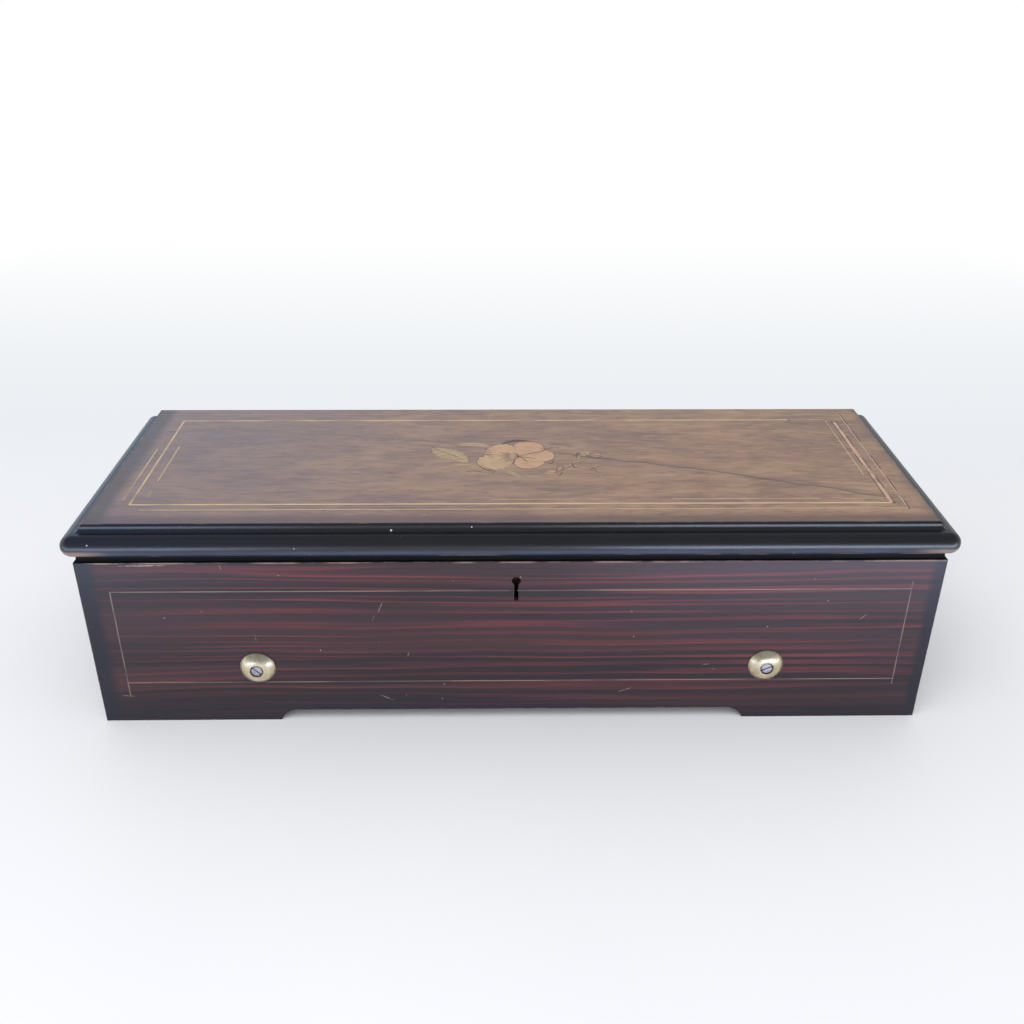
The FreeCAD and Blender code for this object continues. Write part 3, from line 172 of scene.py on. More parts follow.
class Finish(Nodes):
    """A node material, with the textures that wood, metal and paper are made of."""

    def __init__(self, name):
        self.material = bpy.data.materials.new(name)
        self.material.use_nodes = True
        super().__init__(self.material.node_tree)
        self.shader = self.nodes["Principled BSDF"]
        self.point = self.nodes.new("ShaderNodeTexCoord").outputs["Object"]
        self.x, self.y, self.z = self.split(self.point)
        self.rounded = None

    def set(self, **values):
        """Set or link the shader's sockets, and return the material."""
        for name, value in values.items():
            self.feed(self.shader.inputs[SOCKETS[name]], value)
        return self.material

    def scaled(self, size, shift, point=None):
        """Point in which a feature of that size in millimetres along X, Y and Z is one unit long."""
        mapping = self.nodes.new("ShaderNodeMapping")
        self.links.new(point or self.point, mapping.inputs["Vector"])
        mapping.inputs["Location"].default_value = (shift, shift, shift)
        mapping.inputs["Scale"].default_value = [1 / (length * MM) for length in size]
        return mapping.outputs[0]

    def noise(self, size, detail=4.0, warp=0.0, shift=0.0, point=None):
        """Cloudy value from 0 to 1, with features of that size in millimetres along X, Y and Z."""
        texture = self.nodes.new("ShaderNodeTexNoise")
        self.links.new(self.scaled(size, shift, point), texture.inputs["Vector"])
        texture.inputs["Scale"].default_value = 1.0
        texture.inputs["Detail"].default_value = detail
        texture.inputs["Distortion"].default_value = warp
        return texture.outputs[0]

    def specks(self, spacing, radius, share, shift=0.0):
        """Spots of about that radius in millimetres, in a share of the cells of a random grid."""
        texture = self.nodes.new("ShaderNodeTexVoronoi")
        self.links.new(self.scaled((spacing,) * 3, shift), texture.inputs["Vector"])
        texture.inputs["Scale"].default_value = 1.0
        parts = self.nodes.new("ShaderNodeSeparateColor")
        self.links.new(texture.outputs["Color"], parts.inputs[0])
        near = self.ease(texture.outputs["Distance"], radius / spacing, radius / spacing / 2)
        return self.times(near, self.calc("LESS_THAN", parts.outputs[0], share))

    def edge(self, radius):
        """Value that is 0 on a face and rises to 1 at a sharp edge, over that radius in millimetres."""
        flat, sharp = 0.985, 0.80
        bevel = self.nodes.new("ShaderNodeBevel")
        bevel.samples = 4
        bevel.inputs["Radius"].default_value = radius * MM
        geometry = self.nodes.new("ShaderNodeNewGeometry")
        dot = self.nodes.new("ShaderNodeVectorMath")
        dot.operation = "DOT_PRODUCT"
        self.links.new(bevel.outputs[0], dot.inputs[0])
        self.links.new(geometry.outputs["Normal"], dot.inputs[1])
        self.rounded = bevel.outputs[0]
        return self.ease(dot.outputs["Value"], flat, sharp)

    def relief(self, height, depth):
        """Normal of a surface whose height, from 0 to 1, spans that depth in millimetres."""
        bump = self.nodes.new("ShaderNodeBump")
        bump.inputs["Distance"].default_value = depth * MM
        self.links.new(height, bump.inputs["Height"])
        if self.rounded:
            self.links.new(self.rounded, bump.inputs["Normal"])
        return bump.outputs[0]

    def read(self, attribute):
        """Value that the mesh keeps at its vertices."""
        node = self.nodes.new("ShaderNodeAttribute")
        node.attribute_name = attribute
        return node.outputs["Fac"]


def lid_veneer():
    """Faded veneer with a fine grain along X and one long dark figure line across the lid."""
    f = Finish("lid_veneer")
    cloud = f.noise((120, 30, 60), 4.0, 0.8)
    streak = f.noise((48, 6.5, 60), 5.0, 0.9, 3.1)
    grain = f.noise((17, 2.6, 40), 5.0, 0.5, 7.7)
    pore = f.ease(f.noise((9, 1.3, 20), 3.0, 0.0, 1.3), 0.58, 0.68)
    color = f.mix(f.ease(cloud, 0.36, 0.64), srgb(126, 96, 78), srgb(149, 118, 92))
    mottle = f.noise((26, 11, 40), 4.0, 1.0, 5.4)
    color = f.mix(f.times(f.ease(streak, 0.54, 0.72), 0.40), color, srgb(96, 70, 60))
    color = f.mix(f.times(f.ease(streak, 0.44, 0.28), 0.28), color, srgb(164, 131, 107))
    color = f.mix(f.times(f.ease(mottle, 0.50, 0.68), 0.45), color, srgb(106, 82, 76))
    color = f.mix(f.times(f.ease(mottle, 0.46, 0.30), 0.35), color, srgb(164, 134, 110))
    color = f.mix(f.times(f.ease(grain, 0.50, 0.68), 0.27), color, srgb(172, 141, 118))
    color = f.mix(f.times(f.ease(grain, 0.47, 0.30), 0.27), color, srgb(98, 72, 62))
    color = f.mix(f.times(pore, 0.40), color, srgb(74, 54, 48))

    # Grey painted sheen towards the left end, standing in for the window's reflection, and dark old
    # polish along the front and the ends
    painted_sheen = f.ease(f.x, 20 * MM, -220 * MM)
    color = f.mix(f.times(painted_sheen, 0.48), color, srgb(98, 90, 96))
    border = f.ease(f.y, panel_low.y + 13 * MM, panel_low.y + 4 * MM)
    color = f.mix(f.times(border, 0.70), color, srgb(78, 58, 56))
    end = f.most(f.ease(f.x, -220 * MM, -228 * MM), f.ease(f.x, 228 * MM, 234 * MM, 0.0, 0.45))
    color = f.mix(f.times(end, 0.70), color, srgb(56, 48, 48))

    # Figure line, which comes forward from left to right with a slight bow and a random wobble
    line_left, line_back, line_slope = -137 * MM, 55 * MM, -0.26
    bow_middle, bow_reach, bow_depth = 35 * MM, 172 * MM, 11 * MM
    bow = f.calc("POWER", f.times(f.minus(f.x, bow_middle), 1 / bow_reach), 2.0)
    line = f.add(f.times(f.minus(f.x, line_left), line_slope), line_back)
    line = f.minus(line, f.times(bow, bow_depth))
    wobble = f.times(f.minus(f.noise((26, 400, 400), 4.0, 0.0, 5.0), 0.5), 9 * MM)
    off = f.minus(f.minus(f.y, line), wobble)
    sharp = f.times(f.ease(off, -0.5 * MM, 0.1 * MM), f.ease(off, 2.0 * MM, 0.5 * MM))
    soft = f.times(f.ease(off, -0.3 * MM, 0.6 * MM), f.ease(off, 9 * MM, 1.0 * MM, 0.0, 0.35))
    reach = f.times(f.ease(f.x, -165 * MM, -90 * MM, 0.0, 0.55), f.ease(f.x, 226 * MM, 200 * MM))
    reach = f.times(reach, f.ease(f.x, 10 * MM, 60 * MM, 0.9, 1.6))
    color = f.mix(f.times(f.most(sharp, soft), reach), color, srgb(74, 58, 58))

    # Pale dents, and the plain wood of the underside
    dent = f.specks(31, 0.55, 0.35, 2.0)
    color = f.mix(f.times(dent, 0.6), color, srgb(186, 164, 146))
    top = f.ease(f.z, lid_top - 1.2 * MM, lid_top - 0.6 * MM)
    under = f.mix(f.ease(streak, 0.4, 0.7), srgb(92, 62, 44), srgb(60, 38, 28))
    color = f.mix(top, under, color)
    rough = f.add(f.times(cloud, 0.20), 0.26)
    height = f.minus(f.times(grain, 0.5), pore)
    return f.set(color=color, roughness=rough, normal=f.relief(height, 0.06))


def front_veneer():
    """Near black veneer with long wavy red-brown streaks, black ends and a worn top edge."""
    f = Finish("front_veneer")
    band_spacing = 6.8 * MM
    sway = f.times(f.minus(f.noise((230, 900, 60), 2.0, 0.0, 4.0), 0.5), 11 * MM)
    height = f.add(f.z, sway)
    swayed = f.join(f.x, f.y, height)
    broad = f.noise((420, 300, 12), 2.0, 0.0, 1.7, swayed)
    stripe = f.noise((320, 300, 3.0), 2.0, 0.0, 8.2, swayed)
    thread = f.noise((170, 300, 1.0), 2.0, 0.0, 2.4, swayed)
    patch = f.noise((110, 300, 46), 2.0, 0.0, 6.0)
    uneven = f.add(f.times(stripe, 1.5), f.times(broad, 2.4))
    phase = f.add(f.times(height, 1 / band_spacing), uneven)
    band = f.calc("SINE", f.times(phase, 2 * math.pi))

    # Red bands, which are calmer on the left and near the feet, with brighter glints and dark threads
    color = f.mix(f.ease(broad, 0.36, 0.64), srgb(37, 30, 37), srgb(55, 39, 45))
    calm_left = f.ease(f.x, -235 * MM, -110 * MM, 0.30, 0.9)
    calm_feet = f.ease(f.z, 12 * MM, 32 * MM, 0.45, 1.0)
    strength = f.times(calm_left, calm_feet)
    warm = f.times(f.ease(band, -0.3, 0.9), f.ease(patch, 0.34, 0.64, 0.35, 1.0))
    color = f.mix(f.times(warm, strength), color, srgb(92, 43, 51))
    glint = f.times(f.ease(band, 0.70, 1.0), f.ease(stripe, 0.48, 0.62))
    color = f.mix(f.times(f.times(glint, strength), 0.45), color, srgb(124, 64, 63))
    color = f.mix(f.times(f.ease(thread, 0.46, 0.30), 0.45), color, srgb(33, 26, 32))

    # Black ends with a ragged border, their bluish tint a painted reflection, and darker feet
    ragged = f.times(f.minus(f.noise((10, 50, 12), 4.0, 0.0, 9.0), 0.5), 5 * MM)
    place = f.add(f.x, ragged)
    black = f.most(
        f.ease(place, -half_length + 13 * MM, -half_length + 6 * MM),
        f.ease(place, half_length - 9 * MM, half_length - 4 * MM),
    )
    foot = f.ease(f.z, 16 * MM, 4 * MM)
    black = f.most(f.times(black, 0.85), f.times(foot, 0.5))
    color = f.mix(black, color, srgb(24, 26, 40))

    # Bare wood along the top edge and other edges, specks, the inner face, and painted shade: the gap
    # under the lid painted near black
    bare = f.ease(f.noise((26, 40, 14), 5.0, 0.0, 3.3), 0.44, 0.58)
    rim = f.ease(f.z, case_top - 3.0 * MM, case_top - 2.2 * MM)
    chafed = f.times(f.edge(1.1), f.ease(f.noise((9, 9, 9), 4.0), 0.50, 0.58))
    worn = f.most(f.times(rim, bare), chafed)
    color = f.mix(f.times(worn, 0.7), color, srgb(150, 126, 114))
    color = f.mix(f.times(f.specks(11, 0.46, 0.40), 0.7), color, srgb(176, 166, 162))
    inside = f.ease(f.y, front_high.y - 1.5 * MM, front_high.y - 0.5 * MM)
    color = f.mix(inside, color, srgb(70, 44, 34))
    gap_shade = f.times(f.ease(f.z, *RIM_STEP), f.minus(1.0, inside))
    color = f.mix(gap_shade, color, srgb(4, 4, 5))
    rough = f.most(f.add(f.times(patch, 0.14), 0.29), gap_shade)
    return f.set(color=color, roughness=rough, specular=0.38, normal=f.relief(stripe, 0.04))


def ebonised_wood():
    """Black polish with soft brush marks, worn to the wood at edges, and small pale chips."""
    f = Finish("ebonised_wood")
    cloud = f.noise((40, 40, 24), 4.0, 0.4)
    brush = f.noise((60, 60, 1.6), 3.0, 0.0, 2.0)
    color = f.mix(cloud, srgb(11, 11, 14), srgb(22, 21, 24))
    # Painted bluish reflection of the window, towards the left end
    color = f.mix(f.ease(f.x, -60 * MM, -240 * MM, 0.0, 0.7), color, srgb(16, 21, 38))

    # Wear at edges, at the front corners of the lid's moulding, and under its round nose
    up = f.minus(f.z, case_top)
    bare = f.ease(f.noise((16, 16, 7), 6.0, 0.3, 4.4), 0.52, 0.62)
    worn = f.times(f.edge(1.3), bare)
    ahead = f.ease(f.y, front_face, front_face - 3 * MM)
    outward = f.ease(f.calc("ABSOLUTE", f.x), half_length - 24 * MM, half_length - 4 * MM)
    rub = f.times(f.times(outward, ahead), f.ease(up, 8.6 * MM, 6.4 * MM))
    low = f.times(f.ease(up, 5.0 * MM, 4.0 * MM), f.ease(f.y, front_face, front_face - 1 * MM))
    low = f.times(low, f.ease(f.noise((34, 20, 9), 5.0, 0.0, 1.1), 0.52, 0.60))
    worn = f.most(worn, f.most(f.times(rub, f.ease(bare, 0.0, 0.6, 0.70, 1.0)), low))

    # Painted bluish highlight along the nose, standing in for the window's reflection
    nose_highlight = f.times(f.ease(up, 3.0 * MM, 5.2 * MM), f.ease(up, 9.2 * MM, 6.8 * MM))
    dulled = f.ease(f.noise((60, 60, 60), 3.0, 0.0, 9.0), 0.30, 0.62, 0.45, 1.0)
    nose_highlight = f.times(f.times(nose_highlight, ahead), dulled)
    color = f.mix(f.times(nose_highlight, 0.40), color, srgb(84, 100, 140))
    color = f.mix(f.times(worn, 0.85), color, srgb(172, 140, 120))
    chip = f.most(f.specks(8, 0.56, 0.45), f.specks(24, 0.72, 0.60, 5.0))
    color = f.mix(f.times(chip, 0.9), color, srgb(206, 202, 198))
    rough = f.add(f.times(cloud, 0.10), 0.26)
    rough = f.add(rough, f.times(worn, 0.2))

    # Painted shade: the gap between the case and the lid painted near black
    gap_shade = f.times(f.ease(f.z, *RIM_STEP), f.ease(up, 2.9 * MM, 2.6 * MM))
    color = f.mix(gap_shade, color, srgb(3, 3, 4))
    rough = f.most(rough, gap_shade)
    return f.set(color=color, roughness=rough, normal=f.relief(f.add(brush, cloud), 0.02))


def plain_wood(name, size, pale, dark):
    """Oiled wood with its grain along the longest of the three sizes."""
    f = Finish(name)
    ring = f.noise(size, 4.0, 0.8)
    fine = f.noise([length / 5 for length in size], 3.0, 0.0, 2.2)
    color = f.mix(f.ease(ring, 0.36, 0.68), pale, dark)
    color = f.mix(f.times(f.ease(fine, 0.52, 0.75), 0.4), color, dark)
    stain = f.ease(f.noise((70, 70, 50), 3.0, 0.0, 8.0), 0.5, 0.75)
    color = f.mix(f.times(stain, 0.35), color, srgb(62, 42, 30))
    color = f.mix(f.times(f.edge(0.8), 0.3), color, srgb(208, 176, 132))
    rough = f.add(f.times(fine, 0.2), 0.42)
    return f.set(color=color, roughness=rough, normal=f.relief(fine, 0.06))


def brass(name, pale, dull, tarnish):
    """Lacquered brass that has gone dull in patches, with fine scratches."""
    f = Finish(name)
    cloud = f.noise((9, 9, 9), 5.0, 0.5)
    spot = f.ease(f.noise((3, 3, 3), 4.0, 0.0, 3.0), 0.56, 0.72)
    scratch = f.noise((14, 0.35, 0.6), 2.0, 0.0, 6.0)
    color = f.mix(f.ease(cloud, 0.35, 0.68), pale, dull)
    color = f.mix(f.times(spot, 0.30), color, tarnish)
    color = f.mix(f.times(f.edge(0.5), 0.4), color, pale)
    rough = f.add(f.add(f.times(cloud, 0.22), 0.22), f.times(spot, 0.15))
    return f.set(color=color, metallic=1.0, roughness=rough, normal=f.relief(scratch, 0.012))


def steel(name, pale, dark, rub):
    """Ground steel with rub marks along the longest of the three sizes, and a little dark oxide."""
    f = Finish(name)
    cloud = f.noise((7, 7, 7), 4.0, 0.4)
    line = f.noise(rub, 3.0, 0.0, 4.0)
    color = f.mix(f.ease(cloud, 0.38, 0.70), pale, dark)
    color = f.mix(f.times(f.edge(0.4), 0.35), color, srgb(220, 220, 224))
    rough = f.add(f.times(line, 0.22), 0.20)
    return f.set(color=color, metallic=1.0, roughness=rough, normal=f.relief(line, 0.01))


def case_screw_steel():
    """Bright steel screw heads with a dark rim of old wax and dirt."""
    low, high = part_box("case_screws")
    radius = (high.z - low.z) / 2
    f = Finish("screw_steel")
    cloud = f.noise((7, 7, 7), 4.0, 0.4)
    line = f.noise((0.3, 3, 0.3), 3.0, 0.0, 4.0)
    across = f.minus(f.calc("ABSOLUTE", f.x), high.x - radius)
    up = f.minus(f.z, (low.z + high.z) / 2)
    out = f.calc("SQRT", f.add(f.times(across, across), f.times(up, up)))
    color = f.mix(f.ease(cloud, 0.38, 0.70), srgb(206, 206, 218), srgb(166, 166, 182))
    color = f.mix(f.ease(out, radius * 0.76, radius * 0.92), color, srgb(104, 98, 92))
    rough = f.add(f.times(line, 0.22), 0.20)
    return f.set(color=color, metallic=1.0, roughness=rough, normal=f.relief(line, 0.01))


def painted_iron():
    """Cast iron with bronze paint that is rubbed at the edges."""
    f = Finish("painted_iron")
    cast = f.noise((1.6, 1.6, 1.6), 4.0)
    cloud = f.noise((28, 28, 28), 4.0, 0.4, 2.0)
    color = f.mix(f.ease(cloud, 0.35, 0.68), srgb(158, 130, 82), srgb(120, 96, 60))
    bare = f.times(f.edge(0.9), f.ease(f.noise((6, 6, 6), 4.0, 0.0, 5.0), 0.48, 0.58))
    color = f.mix(f.times(bare, 0.8), color, srgb(74, 66, 58))
    rough = f.add(f.times(cast, 0.2), 0.36)
    return f.set(color=color, metallic=0.7, roughness=rough, normal=f.relief(cast, 0.12))


def glass():
    """Old sheet glass, very slightly wavy and smeared."""
    f = Finish("glass")
    wave = f.noise((34, 60, 40), 2.0)
    smear = f.ease(f.noise((30, 12, 20), 4.0, 0.5, 3.0), 0.5, 0.8)
    rough = f.add(f.times(smear, 0.05), 0.01)
    color = f.mix(smear, srgb(244, 250, 246), srgb(236, 242, 236))
    normal = f.relief(wave, 0.05)
    return f.set(color=color, roughness=rough, transmission=1.0, ior=1.45, normal=normal)


def paper():
    """Aged card with foxing and fibres."""
    f = Finish("paper")
    cloud = f.noise((46, 46, 46), 4.0, 0.5)
    fibre = f.noise((1.4, 1.4, 1.4), 3.0)
    fox = f.specks(9, 0.8, 0.20)
    color = f.mix(f.ease(cloud, 0.35, 0.70), srgb(222, 206, 168), srgb(196, 172, 128))
    color = f.mix(f.times(fox, 0.4), color, srgb(150, 108, 66))
    rough = f.add(f.times(fibre, 0.1), 0.82)
    return f.set(color=color, roughness=rough, normal=f.relief(fibre, 0.02))


def lead():
    """Dull grey lead."""
    f = Finish("lead")
    cloud = f.noise((2, 2, 2), 4.0)
    color = f.mix(cloud, srgb(96, 97, 102), srgb(138, 138, 142))
    rough = f.add(f.times(cloud, 0.2), 0.5)
    return f.set(color=color, metallic=0.6, roughness=rough, normal=f.relief(cloud, 0.03))


def line_wood(name, pale, grime, size, low, high):
    """Pale inlaid line, dirty or lost in patches of the given size."""
    f = Finish(name)
    dirt = f.ease(f.noise(size, 5.0, 0.0, 2.0), low, high)
    tone = f.noise((6, 6, 6), 3.0)
    color = f.mix(f.times(tone, 0.35), pale, srgb(150, 116, 74))
    color = f.mix(dirt, color, grime)
    rough = f.add(f.times(tone, 0.2), 0.30)
    return f.set(color=color, roughness=rough, normal=f.relief(tone, 0.02))


def inlay_wood():
    """Pale inlay woods: tone runs from scorched at 0 to clean at 1, and tint from yellow to pink."""
    f = Finish("inlay_wood")
    grain = f.noise((9, 0.7, 20), 4.0, 0.3)
    patch = f.noise((8, 5, 20), 3.0, 0.4, 3.0)
    clean = f.mix(f.read("tint"), srgb(172, 148, 106), srgb(186, 142, 108))
    color = f.mix(f.ease(f.read("tone"), 0.0, 0.75), srgb(134, 108, 84), clean)
    color = f.mix(f.times(f.ease(patch, 0.40, 0.70), 0.45), color, srgb(152, 118, 90))
    color = f.mix(f.times(f.ease(grain, 0.5, 0.8), 0.30), color, srgb(146, 114, 88))
    rough = f.add(f.times(grain, 0.2), 0.28)
    return f.set(color=color, roughness=rough, normal=f.relief(grain, 0.03))


def ink():
    """Dark mastic in engraved lines."""
    f = Finish("ink")
    tone = f.noise((3, 3, 3), 3.0)
    color = f.mix(tone, srgb(66, 52, 52), srgb(96, 76, 70))
    return f.set(color=color, roughness=f.add(f.times(tone, 0.2), 0.4))


# Finishes by the record's material slots, then those of single nodes and of the added pieces
MATERIALS = {
    "front_veneer": front_veneer(),
    "ebonised_wood": ebonised_wood(),
    "lid_veneer": lid_veneer(),
    "inner_wood": plain_wood("inner_wood", (9, 70, 12), srgb(178, 138, 92), srgb(138, 98, 60)),
    "turned_wood": plain_wood("turned_wood", (4, 26, 4), srgb(44, 30, 26), srgb(26, 20, 20)),
    "brass": brass("brass", srgb(222, 200, 140), srgb(190, 166, 106), srgb(136, 110, 66)),
    "steel": steel("steel", srgb(176, 176, 180), srgb(128, 127, 130), (8, 0.4, 0.4)),
    "iron": painted_iron(),
    "glass": glass(),
    "paper": paper(),
    "lead": lead(),
}
COMB_STEEL = steel("comb_steel", srgb(196, 198, 204), srgb(158, 160, 168), (0.35, 12, 3))
SCREW_STEEL = case_screw_steel()
FLOOR_WOOD = plain_wood("floor_wood", (90, 11, 14), srgb(176, 136, 92), srgb(134, 96, 60))
LID_LINE = line_wood("lid_line", srgb(204, 178, 136), srgb(150, 124, 98), (34, 34, 9), 0.44, 0.68)
END_LINE = line_wood("end_line", srgb(192, 158, 134), srgb(140, 112, 98), (10, 10, 9), 0.48, 0.72)
THIN_LINE = line_wood("thin_line", srgb(192, 166, 130), srgb(142, 116, 96), (30, 30, 9), 0.46, 0.74)
UPRIGHT_LINE = line_wood("upright_line", srgb(102, 89, 91), srgb(74, 62, 68), (9, 9, 14), 0.40, 0.64)
FRONT_LINE = line_wood("front_line", srgb(122, 100, 90), srgb(84, 64, 66), (40, 9, 20), 0.40, 0.64)
SCUFF = line_wood("scuff", srgb(148, 132, 126), srgb(88, 70, 70), (3, 3, 3), 0.42, 0.62)
WASHER_BRASS = brass("washer_brass", srgb(224, 212, 184), srgb(196, 182, 148), srgb(140, 122, 88))
# Tarnished brass of the lock case, darkened further as painted shade behind the keyhole
SHADED_OLD_BRASS = brass("shaded_old_brass", srgb(70, 60, 46), srgb(46, 40, 33), srgb(32, 28, 24))
INLAY = inlay_wood()
INK = ink()
NODE_MATERIALS = {
    "comb": COMB_STEEL,
    "case_screws": SCREW_STEEL,
    "case_washers": WASHER_BRASS,
    "lock_case": SHADED_OLD_BRASS,
    "case_floor": FLOOR_WOOD,
    "glass_batten": FLOOR_WOOD,
}


# Thin pieces drawn on a face, with places (u, v) on it and lifts off it in millimetres


def on_lid(u, v, lift):
    return Vector((u, v, 0)) * MM + Vector((0, 0, lid_top + lift * MM))


def on_front(u, v, lift):
    return Vector((u * MM, front_face - lift * MM, v * MM))


def on_card(u, v, lift):
    return Vector((u * MM, v * MM, card_low.z - lift * MM))


def along(points, share):
    """Point at a share of the way along a polyline of (u, v) points."""
    spans = [math.dist(a, b) for a, b in zip(points, points[1:])]
    left = share * sum(spans)
    for (a, b), span in zip(zip(points, points[1:]), spans):
        if left <= span:
            t = left / span
            return (a[0] + (b[0] - a[0]) * t, a[1] + (b[1] - a[1]) * t)
        left -= span
    return points[-1]


def bend(before, start, end, after, t):
    """Value at a share t of the way from start to end, on a smooth line through all four."""
    square = before - 2.5 * start + 2 * end - after / 2
    cube = 1.5 * (start - end) + (after - before) / 2
    return start + (end - before) / 2 * t + square * t**2 + cube * t**3


def curve(points, steps=8):
    """Smooth line of (u, v) points through the given ones."""
    ends = [points[0], *points, points[-1]]
    line = []
    for a, b, c, d in zip(ends, ends[1:], ends[2:], ends[3:]):
        for step in range(steps):
            line.append(tuple(bend(*values, step / steps) for values in zip(a, b, c, d)))
    return [*line, points[-1]]


def sideways(points, index):
    """Direction across a polyline at one of its points."""
    before = points[max(index - 1, 0)]
    after = points[min(index + 1, len(points) - 1)]
    length = math.dist(before, after)
    return (-(after[1] - before[1]) / length, (after[0] - before[0]) / length)


def add_object(name, mesh, material):
    """New object from a finished mesh, in one material."""
    data = bpy.data.meshes.new(name)
    mesh.to_mesh(data)
    mesh.free()
    data.materials.append(material)
    made = bpy.data.objects.new(name, data)
    bpy.context.scene.collection.objects.link(made)
    return made


def add_piece(name, mesh, material, body):
    """New object that moves with a body of the frame."""
    piece = add_object(name, mesh, material)
    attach(piece, body)


class Sheet:
    """Thin raised patches and strips on one face, gathered into one piece."""

    # Depth of a strip's sides under the face, and steps across half a leaf
    sink = 0.15
    leaf_steps = 6

    def __init__(self, place):
        self.place = place
        self.mesh = bmesh.new()
        self.tone = self.mesh.verts.layers.float.new("tone")
        self.tint = self.mesh.verts.layers.float.new("tint")

    def vertex(self, u, v, lift, tone=1.0, tint=0.0):
        vertex = self.mesh.verts.new(self.place(u, v, lift))
        vertex[self.tone] = tone
        vertex[self.tint] = tint
        return vertex

    def bridge(self, rows):
        """Faces between each row of vertices and the next."""
        for row, following in zip(rows, rows[1:]):
            for step in range(len(row) - 1):
                self.mesh.faces.new((row[step], row[step + 1], following[step + 1], following[step]))

    def strip(self, points, width, lift, taper=0.0):
        """Strip along a polyline; taper is the share of its width that it loses at its ends."""
        rows = []
        last = len(points) - 1
        for index, (u, v) in enumerate(points):
            side_u, side_v = sideways(points, index)
            half = width / 2 * (1 - taper * abs(2 * index / last - 1) ** 2)
            left = (u + side_u * half, v + side_v * half)
            right = (u - side_u * half, v - side_v * half)
            rows.append([
                self.vertex(*left, -self.sink),
                self.vertex(*left, lift),
                self.vertex(*right, lift),
                self.vertex(*right, -self.sink),
            ])
        self.bridge(rows)
        self.mesh.faces.new(rows[0])
        self.mesh.faces.new(rows[-1])

    def leaf(self, line, width, lift, tint, teeth=0, tooth=0.0, dark_root=True, fade=1.0):
        """Leaf or petal about a middle line; width gives its half width at a share of its length."""
        rows = []
        last = len(line) - 1
        for index, (u, v) in enumerate(line):
            share = index / last
            side_u, side_v = sideways(line, index)
            half = width(share) * (1 + tooth * abs(math.sin(math.pi * teeth * share)))
            row = []
            for step in range(-self.leaf_steps, self.leaf_steps + 1):
                off = half * step / self.leaf_steps
                if dark_root:
                    tone = min(1.0, 0.35 + share * 1.5)
                else:
                    tone = fade * (1.0 - 0.5 * abs(step) / self.leaf_steps)
                row.append(self.vertex(u + side_u * off, v + side_v * off, lift, tone, tint))
            rows.append(row)
        self.bridge(rows)

    def finish(self, name, material, body, slot):
        """Turn the sheet into a piece of the scene."""
        bmesh.ops.remove_doubles(self.mesh, verts=self.mesh.verts, dist=1e-7)
        bmesh.ops.recalc_face_normals(self.mesh, faces=self.mesh.faces)
        add_piece(name, self.mesh, material, body)


def worn_line(sheet, start, end, width, lift, gaps=()):
    """Straight line of inlay between two points, without the (from, to) shares that are lost."""
    cuts = [0.0]
    for low, high in gaps:
        cuts += [low, high]
    cuts.append(1.0)
    for low, high in zip(cuts[::2], cuts[1::2]):
        sheet.strip([along([start, end], low), along([start, end], high)], width, lift)


# Places of the lid's lines: the broad line, and thin ones outside and inside it
BROAD_LEFT, BROAD_RIGHT, BROAD_FRONT, BROAD_BACK = -214.2, 214.6, -54.9, 64.2
OUTER_LEFT, OUTER_RIGHT, OUTER_FRONT = -219.5, 221.5, -61.3
INNER_LEFT, INNER_RIGHT, INNER_FRONT = -206.8, 209.5, -49.5
BROAD_WIDTH = 1.3
END_WIDTH = 2.08
END_THIN_WIDTH = 0.65
THIN_WIDTH = 0.7
FAINT_WIDTH = 0.56

# Lifts of the lines, which differ where one line crosses another
FLAT_LIFT, LINE_LIFT, CROSSING_LIFT = 0.04, 0.05, 0.06

# Shares of the lines at the lid's right end along which no dark groove shows
END_GAPS = ((0.07, 0.16), (0.30, 0.37), (0.52, 0.66), (0.80, 0.87))


def lid_stringing():
    """Broad line along the front, the back and the left of the lid."""
    line = Sheet(on_lid)
    corner = (BROAD_LEFT, BROAD_FRONT)
    back_corner = (BROAD_LEFT, BROAD_BACK)
    worn_line(line, corner, (BROAD_RIGHT, BROAD_FRONT), BROAD_WIDTH, LINE_LIFT)
    worn_line(line, back_corner, (BROAD_RIGHT - 30, BROAD_BACK), BROAD_WIDTH, LINE_LIFT)
    worn_line(line, corner, back_corner, BROAD_WIDTH, CROSSING_LIFT)
    line.finish("lid_stringing", LID_LINE, "lid", "lid_veneer")


def lid_end_stringing():
    """Lines across the lid's right end, and the dark grooves that have opened beside them."""
    line = Sheet(on_lid)
    front, back, outer_back = BROAD_FRONT, BROAD_BACK, 75
    worn_line(line, (BROAD_RIGHT, front + 1), (BROAD_RIGHT, back - 4), END_WIDTH, CROSSING_LIFT)
    worn_line(line, (OUTER_RIGHT, OUTER_FRONT), (OUTER_RIGHT, outer_back), END_THIN_WIDTH, LINE_LIFT)
    worn_line(line, (INNER_RIGHT, -20), (INNER_RIGHT, 62), END_THIN_WIDTH, LINE_LIFT)
    line.finish("lid_end_stringing", END_LINE, "lid", "lid_veneer")

    groove = Sheet(on_lid)
    outside, inside, last = BROAD_RIGHT + 1.4, BROAD_RIGHT - 1.3, OUTER_RIGHT + 0.8
    worn_line(groove, (outside, front - 1), (outside, back - 3), 0.85, LINE_LIFT, END_GAPS)
    worn_line(groove, (inside, front + 8), (inside, back - 2), 0.60, LINE_LIFT, END_GAPS[1:3])
    worn_line(groove, (last, OUTER_FRONT - 1.2), (last, outer_back), 0.70, FLAT_LIFT, END_GAPS)
    groove.finish("lid_end_grooves", INK, "lid", "lid_veneer")


